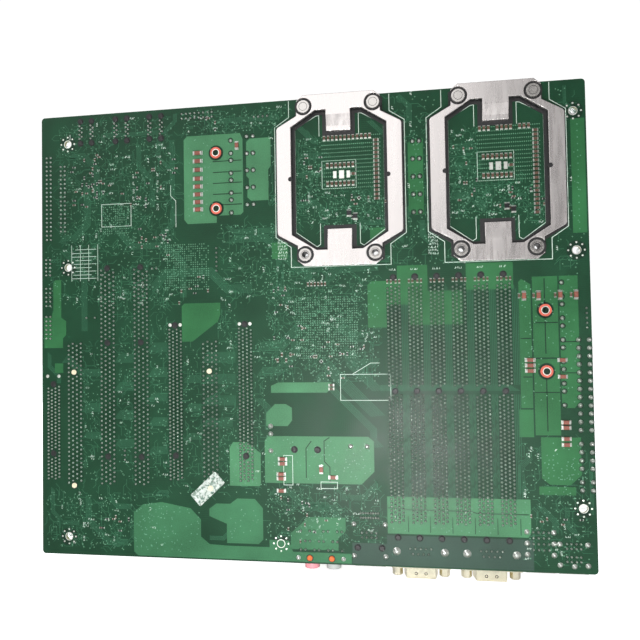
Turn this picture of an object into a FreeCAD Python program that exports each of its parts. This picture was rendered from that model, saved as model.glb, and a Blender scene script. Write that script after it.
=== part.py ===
"""Dual-processor computer motherboard, modelled as an assembly of separate pieces.

The board stands on edge. X runs across it, Z runs up it from the connector edge, and Y is its
thickness: the solder face is at Y = 0 and the components are on the +Y side. The origin is the
centre of the four case-screw holes around the upper half of the board, on the solder face.
"across" is measured from the left column of case-screw holes, "up" from the connector edge.
"""
import FreeCAD, Part
import math
import os
from types import SimpleNamespace

import Sketcher

SIZES = {
    # how far cutters run past a face and joined blocks run into one another
    "join": 1.0,
    # board and its holes
    "board_width": 304.8, "board_height": 254.0, "board_thickness": 1.6, "board_corner": 2.0,
    "board_left": -16.51, "origin_across": 140.97, "origin_up": 201.295, "case_hole_radius": 1.95,
    "column_b": 124.46, "column_c": 281.94, "row_low": 10.16, "row_right_low": 33.02,
    "row_middle": 165.1, "row_high": 237.49,
    "cooler_hole_radius": 1.7, "cooler_hole_gap": 31.6,
    # processor backplates: bent steel rings under the board, with their film and studs
    "socket_up": 207.9, "left_socket_across": 159.8, "socket_pitch": 83.0,
    "stud_gap_across": 38.1, "stud_gap_up": 81.28, "film_thickness": 0.3, "plate_lift": 1.8,
    "plate_thickness": 1.8, "arm_outer": 34.1, "arm_inner": 26.2, "arm_outer_up": 29.4,
    "arm_inner_up": 29.7, "ear_across": 22.9, "ear_up": 35.6, "ear_top_up": 43.9,
    "plate_top_across": 19.4, "plate_half_height": 46.9, "window_corner_across": 12.6,
    "window_half_height": 38.3, "tab_half_width": 6.65, "tab_bend_up": 35.4, "tab_foot_up": 29.4,
    "tab_tip_up": 26.9, "tab_inset": 0.001, "plate_bend_radius": 2.4, "plate_corner_radius": 1.6,
    "stud_recess_radius": 4.8, "stud_recess_depth": 0.9, "stud_flange_radius": 3.45,
    "stud_flange_proud": 0.2, "stud_shank_radius": 2.7, "stud_thread_radius": 1.75,
    "stud_height": 4.0, "stud_blind_wall": 1.2, "film_margin": 1.1, "film_window_margin": 1.9,
    "film_half_height": 46.0, "film_tab_margin": 2.3,
    # processor sockets
    "socket_width": 42.6, "socket_base": 2.2, "socket_height": 3.9, "socket_cavity": 37.8,
    "frame_half_width": 22.8, "frame_half_height": 25.8, "frame_clearance": 0.2,
    "frame_thickness": 1.2, "frame_window": 43.0, "hinge_up": 27.6, "hinge_lift": 3.6,
    "hinge_ear_across": 20.8, "ear_thickness": 1.8, "ear_half_length": 2.2, "pin_radius": 1.0,
    "pin_clearance": 0.1, "lever_ear_across": 19.9, "lever_across": 24.6, "lever_tip_up": 21.0,
    "lever_hook": 6.0, "lever_radius": 0.9, "lever_bend": 2.4, "catch_reach": 3.4, "catch_half_length": 2.5,
    "load_plate_lift": 4.2, "load_plate_thickness": 1.2, "load_plate_half_width": 20.4,
    "load_plate_top": 25.4, "load_plate_bottom": 24.4, "load_window": 30.0,
    "load_tongue_half_width": 5.0, "load_tongue_reach": 1.5, "knuckle_half_width": 3.2,
    "knuckle_across": 12.0, "knuckle_radius": 1.7,
    # memory slots and their latches
    "memory_slots": 6, "first_memory_across": 187.9, "memory_pitch": 11.43,
    "memory_half_width": 3.75, "memory_low_up": 13.2, "memory_high_up": 156.2,
    "memory_height": 9.6, "memory_groove_floor": 2.9, "groove_half_width": 0.85,
    "memory_key_up": 92.9, "key_half_length": 1.2, "tower_height": 14.2, "tower_wall": 1.15,
    "tower_pivot_inset": 1.6, "tower_ridge_gap": 4.4, "tower_overlap": 1.2,
    "latch_half_width": 2.2, "latch_pivot_lift": 4.4, "latch_foot": 3.0, "latch_back": 2.1,
    "latch_front": 2.8, "latch_top": 16.0, "latch_finger": 1.9, "latch_finger_reach": 4.6,
    "latch_hook_low": 8.4, "latch_hook_high": 10.6, "latch_hook_reach": 3.8,
    "latch_pin_half_length": 3.3,
    # expansion slots
    "last_slot_across": 105.4, "slot_pitch": 20.32, "management_across": -9.5,
    "management_low_up": 40.5, "management_high_up": 99.0, "management_key_up": 84.0,
    "express_half_width": 3.75, "express_height": 11.3, "express_low_up": 41.5,
    "express_high_up": 131.0, "express_key_up": 117.2,
    "bus_half_width": 4.25, "bus_height": 14.6, "bus_low_up": 38.4, "bus_high_up": 123.4,
    "bus_key_up": 52.6, "wide_bus_high_up": 166.0, "wide_bus_key_up": 121.0,
    "groove_end_wall": 1.6, "groove_floor": 3.2,
    "clip_half_width": 2.3, "clip_pivot_lift": 3.6, "clip_pivot_gap": 3.6, "clip_half_length": 1.9,
    "clip_foot": 2.3, "clip_top": 7.6, "clip_hook_drop": 2.2, "clip_hook_reach": 3.4,
    "clip_ear_height": 6.2, "clip_ear_reach": 5.6, "clip_ear_wall": 1.2,
    # power connectors
    "power_across": 283.6, "power_half_width": 4.6, "power_height": 12.8, "power_pitch": 4.2,
    "power_cell": 3.4, "power_cell_depth": 10.0, "main_power_rows": 12, "main_power_up": 95.8,
    "processor_power_rows": 4, "processor_power_up": 59.4, "extra_power_rows": 2,
    "extra_power_up": 44.2, "power_tab_height": 8.6, "power_tab_reach": 1.5,
    "power_tab_half_width": 3.2,
    # ribbon headers
    "ribbon_height": 9.0, "ribbon_floor": 2.4, "ribbon_wall": 1.1, "ribbon_notch": 4.4,
    "disk_across": -12.1, "disk_half_width": 4.3, "disk_low_up": 176.8, "disk_high_up": 235.4,
    "floppy_across": -3.2, "floppy_half_width": 4.2, "floppy_low_up": 181.0,
    "floppy_high_up": 232.2,
    # serial disk ports: three pairs
    "disk_port_first": 8.1, "disk_port_second": 15.0, "disk_port_pair_pitch": 21.3,
    "disk_port_half_width": 2.6, "disk_port_low_up": 236.2, "disk_port_high_up": 251.8,
    "disk_port_height": 8.4, "disk_port_slot": 2.5, "disk_port_slot_length": 10.6,
    "disk_port_depth": 6.2, "disk_port_key": 2.6,
    # pin headers
    "header_pitch": 2.54, "header_base": 2.5,
    # heat sinks and the chips under them
    "bridge_package": 1.2, "bridge_die": 0.9, "north_chip": 37.5, "north_die": 14.0,
    "south_chip": 31.0, "south_die": 12.0, "sink_base": 3.5, "fin_thickness": 1.0,
    "north_sink": 40.0, "north_sink_height": 24.0, "north_fins": 11,
    "south_sink": 30.0, "south_sink_height": 14.0, "south_fins": 9,
    # regulators: chokes, transistors and capacitors
    "choke_side": 9.2, "choke_height": 7.0, "choke_foot": 0.4, "transistor_length": 6.1,
    "transistor_width": 6.6, "transistor_height": 2.3, "tall_can_radius": 4.0,
    "tall_can_height": 11.5, "short_can_radius": 3.15, "short_can_height": 7.5,
    "can_base_height": 1.2, "can_base_extra": 0.35,
    # battery
    "cell_radius": 10.0, "cell_height": 3.2, "cell_lift": 1.6, "holder_radius": 11.6,
    "holder_height": 4.0, "holder_gap": 0.2, "holder_clip_half_width": 3.0,
    # audio jack block, three high and two wide
    "audio_across": 146.3, "audio_half_width": 12.8, "audio_front_up": -0.6, "audio_depth": 20.8,
    "audio_height": 35.4, "jack_gap_across": 12.0, "jack_first_lift": 6.4, "jack_gap_lift": 11.2,
    "jack_nose_radius": 4.1, "jack_nose_length": 3.6, "jack_bore_radius": 1.8,
    "jack_bore_length": 14.0,
    # network socket over two bus ports
    "network_across": 172.8, "network_half_width": 8.1, "network_height": 29.8,
    "network_depth": 21.4, "port_front_up": -0.8, "network_jack_width": 11.8,
    "network_jack_height": 8.2, "network_jack_depth": 13.0, "network_jack_lift": 18.6,
    # bus ports, four high
    "bus_port_across": 260.5, "bus_port_half_width": 7.2, "bus_port_block_height": 30.6,
    "bus_port_depth": 17.4, "bus_port_slot_width": 12.6, "bus_port_slot_height": 5.1,
    "bus_port_slot_depth": 11.0, "bus_port_first_lift": 1.2, "bus_port_pitch": 7.5,
    # keyboard and mouse ports
    "round_port_across": 276.7, "round_port_half_width": 7.2, "round_port_block_height": 26.4,
    "round_port_depth": 13.6, "round_port_radius": 4.8, "round_port_hole_depth": 8.0,
    "round_port_first_lift": 6.6, "round_port_pitch": 13.0,
    # nine-pin serial ports
    "left_serial_across": 199.6, "right_serial_across": 236.05, "serial_screw_gap": 25.0,
    "serial_lift": 6.3, "serial_flange_half_width": 15.4, "serial_flange_height": 12.5,
    "serial_flange_front": -1.0, "serial_flange_thickness": 0.6, "serial_shell_front": -6.9,
    "shell_wide": 9.1, "shell_narrow": 7.7, "shell_half_height": 4.1, "shell_wall": 0.5,
    "shell_floor": 0.5, "serial_body_half_width": 9.6, "serial_body_back": 4.2,
    "serial_tail_back": 9.0, "serial_tail_height": 6.6, "serial_bracket_half_width": 3.0,
    "serial_bracket_back": 11.3, "serial_bracket_height": 1.0, "jackscrew_radius": 2.45,
    "jackscrew_front": -6.2, "jackscrew_thread_radius": 1.35, "jackscrew_thread_depth": 4.0,
}

# Where single components stand: (across, up) of each centre.
PLACES = {
    "north_bridge": (152.0, 128.0), "south_bridge": (72.5, 163.5), "battery": (118.2, 158.6),
    "left_cooler_holes": (89.95, 211.25), "right_cooler_holes": (265.65, 118.65),
}
# Flat packages: (across, up, width across, width up, thickness).
CHIPS = {
    "graphics_chip": (30.0, 192.0, 19.0, 19.0, 1.5), "network_chip": (146.0, 84.0, 14.0, 14.0, 1.4),
    "buffer_chip": (171.5, 95.0, 20.0, 13.0, 1.2), "sound_chip": (147.0, 35.0, 9.0, 9.0, 1.4),
    "input_output_chip": (24.0, 219.0, 14.0, 20.0, 2.4), "clock_chip": (118.0, 92.0, 8.0, 14.0, 1.8),
    "firmware_chip": (50.0, 205.0, 11.4, 14.0, 2.6), "left_driver_chip": (76.0, 186.0, 7.0, 7.0, 1.0),
    "right_driver_chip": (257.0, 78.0, 7.0, 7.0, 1.0), "disk_chip": (29.0, 226.5, 6.0, 8.0, 1.6),
}
# Pin headers: (across, up, columns across, rows up).
HEADERS = {
    "front_panel_header": (79.0, 249.3, 8, 2), "front_audio_header": (-12.6, 165.4, 2, 5),
    "front_bus_header": (-12.6, 148.6, 2, 5), "serial_header": (-12.6, 130.4, 2, 6),
    "serial_bus_header": (89.6, 166.9, 1, 6), "fan_header_left": (286.0, 130.2, 1, 5),
    "jumper_low": (34.3, 56.9, 1, 3), "jumper_middle": (13.8, 135.6, 2, 1),
    "jumper_high": (52.8, 163.0, 2, 1), "fan_header_top": (116.0, 246.0, 4, 1),
}
CHOKES = {
    "left_choke": (98.6, 196.4, 11.2, 4), "right_choke": (274.1, 89.0, 11.2, 6),
}
TRANSISTORS = {
    "left_transistor": (80.0, 193.0, 7.6, 6), "right_transistor": (256.8, 90.0, 8.0, 7),
}
TALL_CANS = {
    "left_can": (109.6, 197.0, 9.6, 5), "middle_can": (201.3, 188.5, 9.6, 5),
    "right_can": (275.0, 183.0, 9.6, 5),
}
SHORT_CANS = {
    "slot_can": (14.0, 31.0, 7.5, 4), "memory_can": (176.0, 112.0, 9.0, 4),
    "edge_can": (74.9, 18.75, 11.5, 3), "lower_can": (114.6, 30.0, 9.0, 3),
}


class Size:
    """A number together with the spreadsheet formula that it comes from."""

    def __init__(self, value, formula):
        self.value = value
        self.formula = formula

    def __add__(self, other):
        other = as_size(other)
        return Size(self.value + other.value, f"({self.formula} + {other.formula})")

    def __sub__(self, other):
        other = as_size(other)
        return Size(self.value - other.value, f"({self.formula} - {other.formula})")

    def __mul__(self, other):
        other = as_size(other)
        return Size(self.value * other.value, f"({self.formula} * {other.formula})")

    def __truediv__(self, other):
        other = as_size(other)
        return Size(self.value / other.value, f"({self.formula} / {other.formula})")

    def __rsub__(self, other):
        return as_size(other) - self

    def __neg__(self):
        return self * -1

    __radd__ = __add__
    __rmul__ = __mul__


def as_size(item):
    """Turn a plain number into a Size; a Size stays itself."""
    return item if isinstance(item, Size) else Size(float(item), f"({item})")


doc = FreeCAD.newDocument("motherboard")
sheet = doc.addObject("Spreadsheet::Sheet", "sizes")
rows_used = 0


def cell(name, value):
    """Add one named number to the sheet and return it as a Size."""
    global rows_used
    rows_used += 1
    sheet.set(f"A{rows_used}", name)
    sheet.set(f"B{rows_used}", str(value))
    sheet.setAlias(f"B{rows_used}", name)
    return Size(value, f"sizes.{name}")


def cells(table, words):
    """Add a table of named rows to the sheet: each row becomes a list of Sizes."""
    return {name: [cell(f"{name}_{word}", value) for word, value in zip(words, row)]
            for name, row in table.items()}


s = SimpleNamespace(**{name: cell(name, value) for name, value in SIZES.items()})
places = cells(PLACES, ("across", "up"))
chips = cells(CHIPS, ("across", "up", "width", "length", "thickness"))
headers = cells(HEADERS, ("across", "up", "columns", "rows"))
chokes = cells(CHOKES, ("across", "up", "pitch", "count"))
transistors = cells(TRANSISTORS, ("across", "up", "pitch", "count"))
tall_cans = cells(TALL_CANS, ("across", "up", "pitch", "count"))
short_cans = cells(SHORT_CANS, ("across", "up", "pitch", "count"))
doc.recompute()


def count(size):
    """A whole number of repeats."""
    return int(round(size.value))


def at_x(across):
    """X of a distance from the left column of case-screw holes."""
    return across - s.origin_across


def at_z(up):
    """Z of a height above the connector edge."""
    return up - s.origin_up


def lift(height):
    """Y of a height above the component side of the board."""
    return s.board_thickness + height


def around(centre, half):
    """A span that reaches half to each side of its centre."""
    return (centre - half, centre + half)


# ---------------------------------------------------------------- building tools

def bind(item, **sizes):
    """Bind properties of an object to formulas of the sheet; _ stands for a dot."""
    for name, size in sizes.items():
        item.setExpression(name.replace("_", "."), as_size(size).formula)


def block(x, y, z):
    """A box from its low and high side along each axis."""
    item = doc.addObject("Part::Box", "block")
    bind(item, Length=x[1] - x[0], Width=y[1] - y[0], Height=z[1] - z[0],
         Placement_Base_x=x[0], Placement_Base_y=y[0], Placement_Base_z=z[0])
    return item


TURNS = {
    "x": FreeCAD.Rotation(FreeCAD.Vector(0, 1, 0), 90),
    "y": FreeCAD.Rotation(FreeCAD.Vector(1, 0, 0), -90),
    "z": FreeCAD.Rotation(),
}


def rod(axis, start, radius, length):
    """A cylinder that starts at a point and runs along the plus side of an axis."""
    item = doc.addObject("Part::Cylinder", "rod")
    item.Placement = FreeCAD.Placement(FreeCAD.Vector(), TURNS[axis])
    bind(item, Radius=radius, Height=length, Placement_Base_x=start[0],
         Placement_Base_y=start[1], Placement_Base_z=start[2])
    return item


def fuse(pieces):
    """One solid from pieces that touch or overlap."""
    item = doc.addObject("Part::MultiFuse", "fuse")
    item.Shapes = pieces
    item.Refine = True
    return item


def cut(base, tools):
    """The base with every tool taken out of it."""
    item = doc.addObject("Part::Cut", "cut")
    item.Base = base
    item.Tool = tools[0] if len(tools) == 1 else fuse(tools)
    return item


nodes = []


def node(name, pieces):
    """Name one sub-part: a single object, or several separate solids kept together."""
    if len(pieces) == 1:
        item = pieces[0]
    else:
        item = doc.addObject("Part::Compound", "group")
        item.Links = pieces
    item.Label = name
    nodes.append(item)
    return item


def dimension(sketch, geometry, point, x, y):
    """Place one point of a sketch at bound distances from the sketch's origin."""
    for kind, size in (("DistanceX", x), ("DistanceY", y)):
        rule = Sketcher.Constraint(kind, -1, 1, geometry, point, size.value)
        sketch.setExpression(f"Constraints[{sketch.addConstraint(rule)}]", size.formula)


def draw_polygon(sketch, corners):
    """A closed outline through corners given as (x, y) Sizes."""
    first = sketch.GeometryCount
    total = len(corners)
    spots = [FreeCAD.Vector(x.value, y.value, 0) for x, y in corners]
    for index in range(total):
        sketch.addGeometry(Part.LineSegment(spots[index], spots[(index + 1) % total]))
    for index in range(total):
        following = first + (index + 1) % total
        sketch.addConstraint(Sketcher.Constraint("Coincident", first + index, 2, following, 1))
        dimension(sketch, first + index, 1, *corners[index])


def draw_circle(sketch, x, y, radius):
    """A circle with a bound centre and radius."""
    circle = Part.Circle(FreeCAD.Vector(x.value, y.value, 0), FreeCAD.Vector(0, 0, 1), radius.value)
    geometry = sketch.addGeometry(circle)
    dimension(sketch, geometry, 3, x, y)
    rule = sketch.addConstraint(Sketcher.Constraint("Radius", geometry, radius.value))
    sketch.setExpression(f"Constraints[{rule}]", radius.formula)


def sketch_on(body, role):
    """A sketch on one of the body's own origin planes."""
    plane = next(item for item in body.Origin.OriginFeatures if item.Role == role)
    sketch = body.newObject("Sketcher::SketchObject", "sketch")
    sketch.AttachmentSupport = (plane, [""])
    sketch.MapMode = "FlatFace"
    return sketch


def feature(body, kind, sketch, **sizes):
    """A pad or pocket of a sketch."""
    item = body.newObject(f"PartDesign::{kind}", kind.lower())
    item.Profile = sketch
    bind(item, **sizes)
    body.Tip = item
    return item


def round_edges(body, wanted, radius):
    """Round the edges of the body's last feature whose middle satisfies a test."""
    doc.recompute()
    base = body.Tip
    names = [f"Edge{index + 1}" for index, edge in enumerate(base.Shape.Edges) if wanted(edge)]
    item = body.newObject("PartDesign::Fillet", "fillet")
    item.Base = (base, names)
    bind(item, Radius=radius)
    body.Tip = item
    return item


def runs_along_y(edge):
    """True for a straight edge through the thickness of a plate."""
    return edge.BoundBox.YLength > 0.1 and edge.BoundBox.XLength + edge.BoundBox.ZLength < 0.01


def prism(plane_turn, corners, base, length):
    """A polygon drawn about the origin, pushed along its normal and moved to a base point."""
    sketch = doc.addObject("Sketcher::SketchObject", "outline")
    draw_polygon(sketch, corners)
    item = doc.addObject("Part::Extrusion", "prism")
    item.Base = sketch
    item.DirMode = "Custom"
    item.Dir = FreeCAD.Vector(0, 0, 1)
    item.Solid = True
    item.Placement = FreeCAD.Placement(FreeCAD.Vector(), plane_turn)
    bind(item, LengthFwd=length, Placement_Base_x=base[0], Placement_Base_y=base[1],
         Placement_Base_z=base[2])
    return item


# ---------------------------------------------------------------- board

def stud_spots(across):
    """(across, up) of the four studs of one processor, upper pair first."""
    return [(across + side * s.stud_gap_across / 2, s.socket_up + end * s.stud_gap_up / 2)
            for end in (1, -1) for side in (1, -1)]


socket_columns = [s.left_socket_across, s.left_socket_across + s.socket_pitch]


def circuit_board():
    """The laminate with its case-screw, stud and regulator-cooler holes."""
    body = doc.addObject("PartDesign::Body", "circuit_board")
    outline = sketch_on(body, "XZ_Plane")
    left, right = at_x(s.board_left), at_x(s.board_left + s.board_width)
    low, high = at_z(as_size(0)), at_z(s.board_height)
    draw_polygon(outline, [(left, low), (right, low), (right, high), (left, high)])
    pad = feature(body, "Pad", outline, Length=s.board_thickness)
    pad.Reversed = True
    round_edges(body, runs_along_y, s.board_corner)
    doc.recompute()
    full = body.Shape.Volume
    holes = sketch_on(body, "XZ_Plane")
    case_holes = [(as_size(0), s.row_low), (s.column_b, s.row_low), (s.column_c, s.row_right_low)]
    case_holes += [(column, row) for column in (as_size(0), s.column_c)
                   for row in (s.row_middle, s.row_high)]
    for across, up in case_holes:
        draw_circle(holes, at_x(across), at_z(up), s.case_hole_radius)
    for column in socket_columns:
        for across, up in stud_spots(column):
            draw_circle(holes, at_x(across), at_z(up), s.stud_shank_radius)
    for name in ("left_cooler_holes", "right_cooler_holes"):
        across, up = places[name]
        for end in (1, -1):
            spot_up = up + end * s.cooler_hole_gap / 2
            draw_circle(holes, at_x(across), at_z(spot_up), s.cooler_hole_radius)
    pocket = feature(body, "Pocket", holes)
    pocket.Type = "ThroughAll"
    doc.recompute()
    if body.Shape.Volume >= full:
        raise RuntimeError("the holes of the board cut nothing")
    node("circuit_board", [body])


# ---------------------------------------------------------------- processor backplates

def ring_outline(arm, arm_up, corner_across, corner_up):
    """Six-sided outline of a plate or window, symmetrical both ways."""
    quarter = [(arm, arm_up), (corner_across, corner_up)]
    right = quarter + [(-x, y) for x, y in reversed(quarter)]
    return right + [(x, -y) for x, y in reversed(right)]


def plate_outline():
    """Outline of the steel ring, with an ear beside each stud."""
    quarter = [(s.arm_outer, s.arm_outer_up), (s.ear_across, s.ear_up),
               (s.ear_across, s.ear_top_up), (s.plate_top_across, s.plate_half_height)]
    upper = quarter + [(-x, y) for x, y in reversed(quarter)]
    return upper + [(x, -y) for x, y in reversed(upper)]


def backplate(name, across):
    """Stamped steel ring with two tabs that bend down to the board."""
    body = doc.addObject("PartDesign::Body", name)
    outline = sketch_on(body, "XZ_Plane")
    draw_polygon(outline, plate_outline())
    draw_polygon(outline, ring_outline(s.arm_inner, s.arm_inner_up, s.window_corner_across,
                                       s.window_half_height))
    feature(body, "Pad", outline, Length=s.plate_thickness)
    arm_middle = (s.arm_inner + s.arm_outer).value / 2
    round_edges(body, lambda edge: runs_along_y(edge) and abs(edge.BoundBox.Center.x) > arm_middle,
                s.plate_bend_radius)
    for end in (1, -1):
        drop = s.plate_lift - s.film_thickness
        profile = [(-s.plate_thickness, s.window_half_height + s.join), (-s.plate_thickness, s.tab_bend_up),
                   (drop - s.plate_thickness, s.tab_foot_up), (drop - s.plate_thickness, s.tab_tip_up),
                   (drop, s.tab_tip_up), (drop, s.tab_foot_up + s.film_thickness),
                   (-s.tab_inset, s.tab_bend_up + s.film_thickness),
                   (-s.tab_inset, s.window_half_height + s.join)]
        bend = sketch_on(body, "YZ_Plane")
        draw_polygon(bend, [(y, z * end) for y, z in profile])
        tab = feature(body, "Pad", bend, Length=s.tab_half_width * 2)
        tab.Midplane = True
    doc.recompute()
    full = body.Shape.Volume
    recess = sketch_on(body, "XZ_Plane")
    shanks = sketch_on(body, "XZ_Plane")
    for side in (1, -1):
        for end in (1, -1):
            x, z = side * s.stud_gap_across / 2, end * s.stud_gap_up / 2
            draw_circle(recess, x, z, s.stud_recess_radius)
            draw_circle(shanks, x, z, s.stud_shank_radius)
    recess.AttachmentOffset = FreeCAD.Placement(FreeCAD.Vector(0, 0, s.plate_thickness.value),
                                                FreeCAD.Rotation())
    recess.setExpression("AttachmentOffset.Base.z", s.plate_thickness.formula)
    feature(body, "Pocket", recess, Length=s.stud_recess_depth)
    through = feature(body, "Pocket", shanks)
    through.Type = "ThroughAll"
    through.Midplane = True
    doc.recompute()
    if body.Shape.Volume >= full - 100:
        raise RuntimeError("the stud recesses cut nothing")
    bind(body, Placement_Base_x=at_x(across), Placement_Base_y=-s.plate_lift,
         Placement_Base_z=at_z(s.socket_up))
    node(name, [body])


XZ_TURN = FreeCAD.Rotation(FreeCAD.Vector(1, 0, 0), 90)


def insulator(across):
    """Black film between one steel ring and the board."""
    base = (at_x(across), as_size(0), at_z(s.socket_up))
    outer = [(s.arm_outer + s.film_margin, s.arm_outer_up + s.film_margin / 2),
             (s.ear_across + s.film_margin, s.ear_up + s.film_margin),
             (s.ear_across + s.film_margin, s.ear_top_up), (s.plate_top_across, s.film_half_height)]
    upper = outer + [(-x, y) for x, y in reversed(outer)]
    film = prism(XZ_TURN, upper + [(x, -y) for x, y in reversed(upper)], base, s.film_thickness)
    side = s.film_window_margin
    window = prism(XZ_TURN, ring_outline(s.arm_inner - side, s.arm_inner_up - side / 2,
                                         s.window_corner_across, s.window_half_height - side),
                   base, s.film_thickness)
    pads = [block(around(base[0], s.tab_half_width + s.film_tab_margin), (-s.film_thickness, as_size(0)),
                  sorted_span(base[2] + end * (s.tab_tip_up - s.film_tab_margin),
                              base[2] + end * s.window_half_height))
            for end in (1, -1)]
    shanks = [rod("y", (at_x(x), -s.film_thickness, at_z(z)), s.stud_shank_radius, s.film_thickness)
              for x, z in stud_spots(across)]
    return cut(fuse([cut(film, [window])] + pads), shanks)


def sorted_span(one, other):
    """A span with its lower side first."""
    return (one, other) if one.value < other.value else (other, one)


def studs(across):
    """Four threaded studs; the upper pair is closed at the solder side."""
    made = []
    for index, (x_across, z_up) in enumerate(stud_spots(across)):
        x, z = at_x(x_across), at_z(z_up)
        seat = -(s.plate_lift + s.plate_thickness - s.stud_recess_depth)
        face = -(s.plate_lift + s.plate_thickness + s.stud_flange_proud)
        flange = rod("y", (x, face, z), s.stud_flange_radius, seat - face)
        shank = rod("y", (x, face, z), s.stud_shank_radius, lift(s.stud_height) - face)
        thread_start = face + s.stud_blind_wall if index < 2 else face
        thread = rod("y", (x, thread_start, z), s.stud_thread_radius,
                     lift(s.stud_height) - thread_start)
        made.append(cut(fuse([flange, shank]), [thread]))
    return made


# ---------------------------------------------------------------- processor sockets

def socket(side, across):
    """Contact housing, steel frame, hinged load plate and its lever."""
    x, z = at_x(across), at_z(s.socket_up)
    half = s.socket_width / 2
    housing = block(around(x, half), (lift(0), lift(s.socket_height)), around(z, half))
    cavity = block(around(x, s.socket_cavity / 2), (lift(s.socket_base), lift(s.socket_height + s.join)),
                   around(z, s.socket_cavity / 2))
    node(f"{side}_socket_body", [cut(housing, [cavity])])

    floor, top = lift(s.frame_clearance), lift(s.frame_clearance + s.frame_thickness)
    ring = block(around(x, s.frame_half_width), (floor, top), around(z, s.frame_half_height))
    catch = block((x + s.frame_half_width - s.join, x + s.frame_half_width + s.catch_reach), (floor, top),
                  around(z + s.lever_tip_up / 2, s.catch_half_length))
    axis_y = lift(s.hinge_lift)
    ears = []
    holes = []
    for end, ear_across in ((1, s.hinge_ear_across), (-1, s.lever_ear_across)):
        ear_z = z + end * s.hinge_up
        foot = sorted_span(z + end * (s.frame_half_height - s.join), ear_z + end * s.ear_half_length)
        for hand in (1, -1):
            middle = x + hand * (ear_across + s.ear_thickness / 2)
            ears.append(block(around(middle, s.ear_thickness / 2),
                              (floor, axis_y + s.ear_half_length), foot))
        reach = ear_across + s.ear_thickness + 1
        holes.append(rod("x", (x - reach, axis_y, ear_z), s.pin_radius + s.pin_clearance, reach * 2))
    window = block(around(x, s.frame_window / 2), (floor - s.join, top + s.join),
                   around(z, s.frame_window / 2))
    node(f"{side}_socket_frame", [cut(fuse([ring, catch] + ears), [window] + holes)])

    plate_y = (lift(s.load_plate_lift), lift(s.load_plate_lift + s.load_plate_thickness))
    plate = block(around(x, s.load_plate_half_width), plate_y,
                  (z - s.load_plate_bottom, z + s.load_plate_top))
    tongue = block(around(x, s.load_tongue_half_width), plate_y,
                   (z - s.load_plate_bottom - s.load_tongue_reach, z - s.load_plate_bottom + s.join))
    opening = block(around(x, s.load_window / 2), (plate_y[0] - s.join, plate_y[1] + s.join),
                    around(z, s.load_window / 2))
    hinge_z = z + s.hinge_up
    pin_reach = s.hinge_ear_across + s.ear_thickness
    pin = rod("x", (x - pin_reach, axis_y, hinge_z), s.pin_radius, pin_reach * 2)
    knuckles = []
    for hand in (1, -1):
        middle = x + hand * s.knuckle_across
        knuckles.append(rod("x", (middle - s.knuckle_half_width, axis_y, hinge_z), s.knuckle_radius,
                            s.knuckle_half_width * 2))
        knuckles.append(block(around(middle, s.knuckle_half_width), plate_y,
                              (z + s.load_plate_top - s.join, hinge_z)))
    node(f"{side}_load_plate", [cut(fuse([plate, tongue, pin] + knuckles), [opening])])

    node(f"{side}_load_lever", [load_lever(x, axis_y, z)])


def load_lever(x, y, z):
    """Round wire bent into a shaft along X, an arm along Z and a hook at the arm's tip."""
    shaft_z, tip_z = z - s.hinge_up, z + s.lever_tip_up
    start_x = x - s.lever_ear_across - s.ear_thickness - 1
    arm_x = x + s.lever_across
    bend = s.lever_bend
    route = doc.addObject("Sketcher::SketchObject", "route")
    spots = [(start_x, shaft_z), (arm_x - bend, shaft_z), (arm_x, shaft_z + bend), (arm_x, tip_z - bend),
             (arm_x + bend, tip_z), (arm_x + s.lever_hook, tip_z)]
    vectors = [FreeCAD.Vector(across.value, up.value, 0) for across, up in spots]
    for index in (0, 2, 4):
        line = route.addGeometry(Part.LineSegment(vectors[index], vectors[index + 1]))
        dimension(route, line, 1, *spots[index])
        dimension(route, line, 2, *spots[index + 1])
    up = FreeCAD.Vector(0, 0, 1)
    lower = Part.Circle(FreeCAD.Vector(vectors[1].x, vectors[2].y, 0), up, bend.value)
    upper = Part.Circle(FreeCAD.Vector(vectors[4].x, vectors[3].y, 0), up, bend.value)
    quarter = math.pi / 2
    joins = ((Part.ArcOfCircle(lower, -quarter, 0), (0, 2), (1, 1)),
             (Part.ArcOfCircle(upper, quarter, 2 * quarter), (2, 1), (1, 2)))
    for arc, start_of, end_of in joins:
        geometry = route.addGeometry(arc)
        route.addConstraint(Sketcher.Constraint("Coincident", geometry, 1, *start_of))
        route.addConstraint(Sketcher.Constraint("Coincident", geometry, 2, *end_of))
        rule = route.addConstraint(Sketcher.Constraint("Radius", geometry, bend.value))
        route.setExpression(f"Constraints[{rule}]", bend.formula)
    route.Placement = FreeCAD.Placement(FreeCAD.Vector(), XZ_TURN)
    bind(route, Placement_Base_y=y)
    section = doc.addObject("Part::Circle", "section")
    section.Placement = FreeCAD.Placement(FreeCAD.Vector(), TURNS["x"])
    bind(section, Radius=s.lever_radius, Placement_Base_x=start_x, Placement_Base_y=y,
         Placement_Base_z=shaft_z)
    doc.recompute()
    wire = doc.addObject("Part::Sweep", "wire")
    wire.Sections = [section]
    wire.Spine = (route, [f"Edge{index + 1}" for index in range(len(route.Shape.Edges))])
    wire.Solid = True
    return wire


# ---------------------------------------------------------------- memory slots

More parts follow.
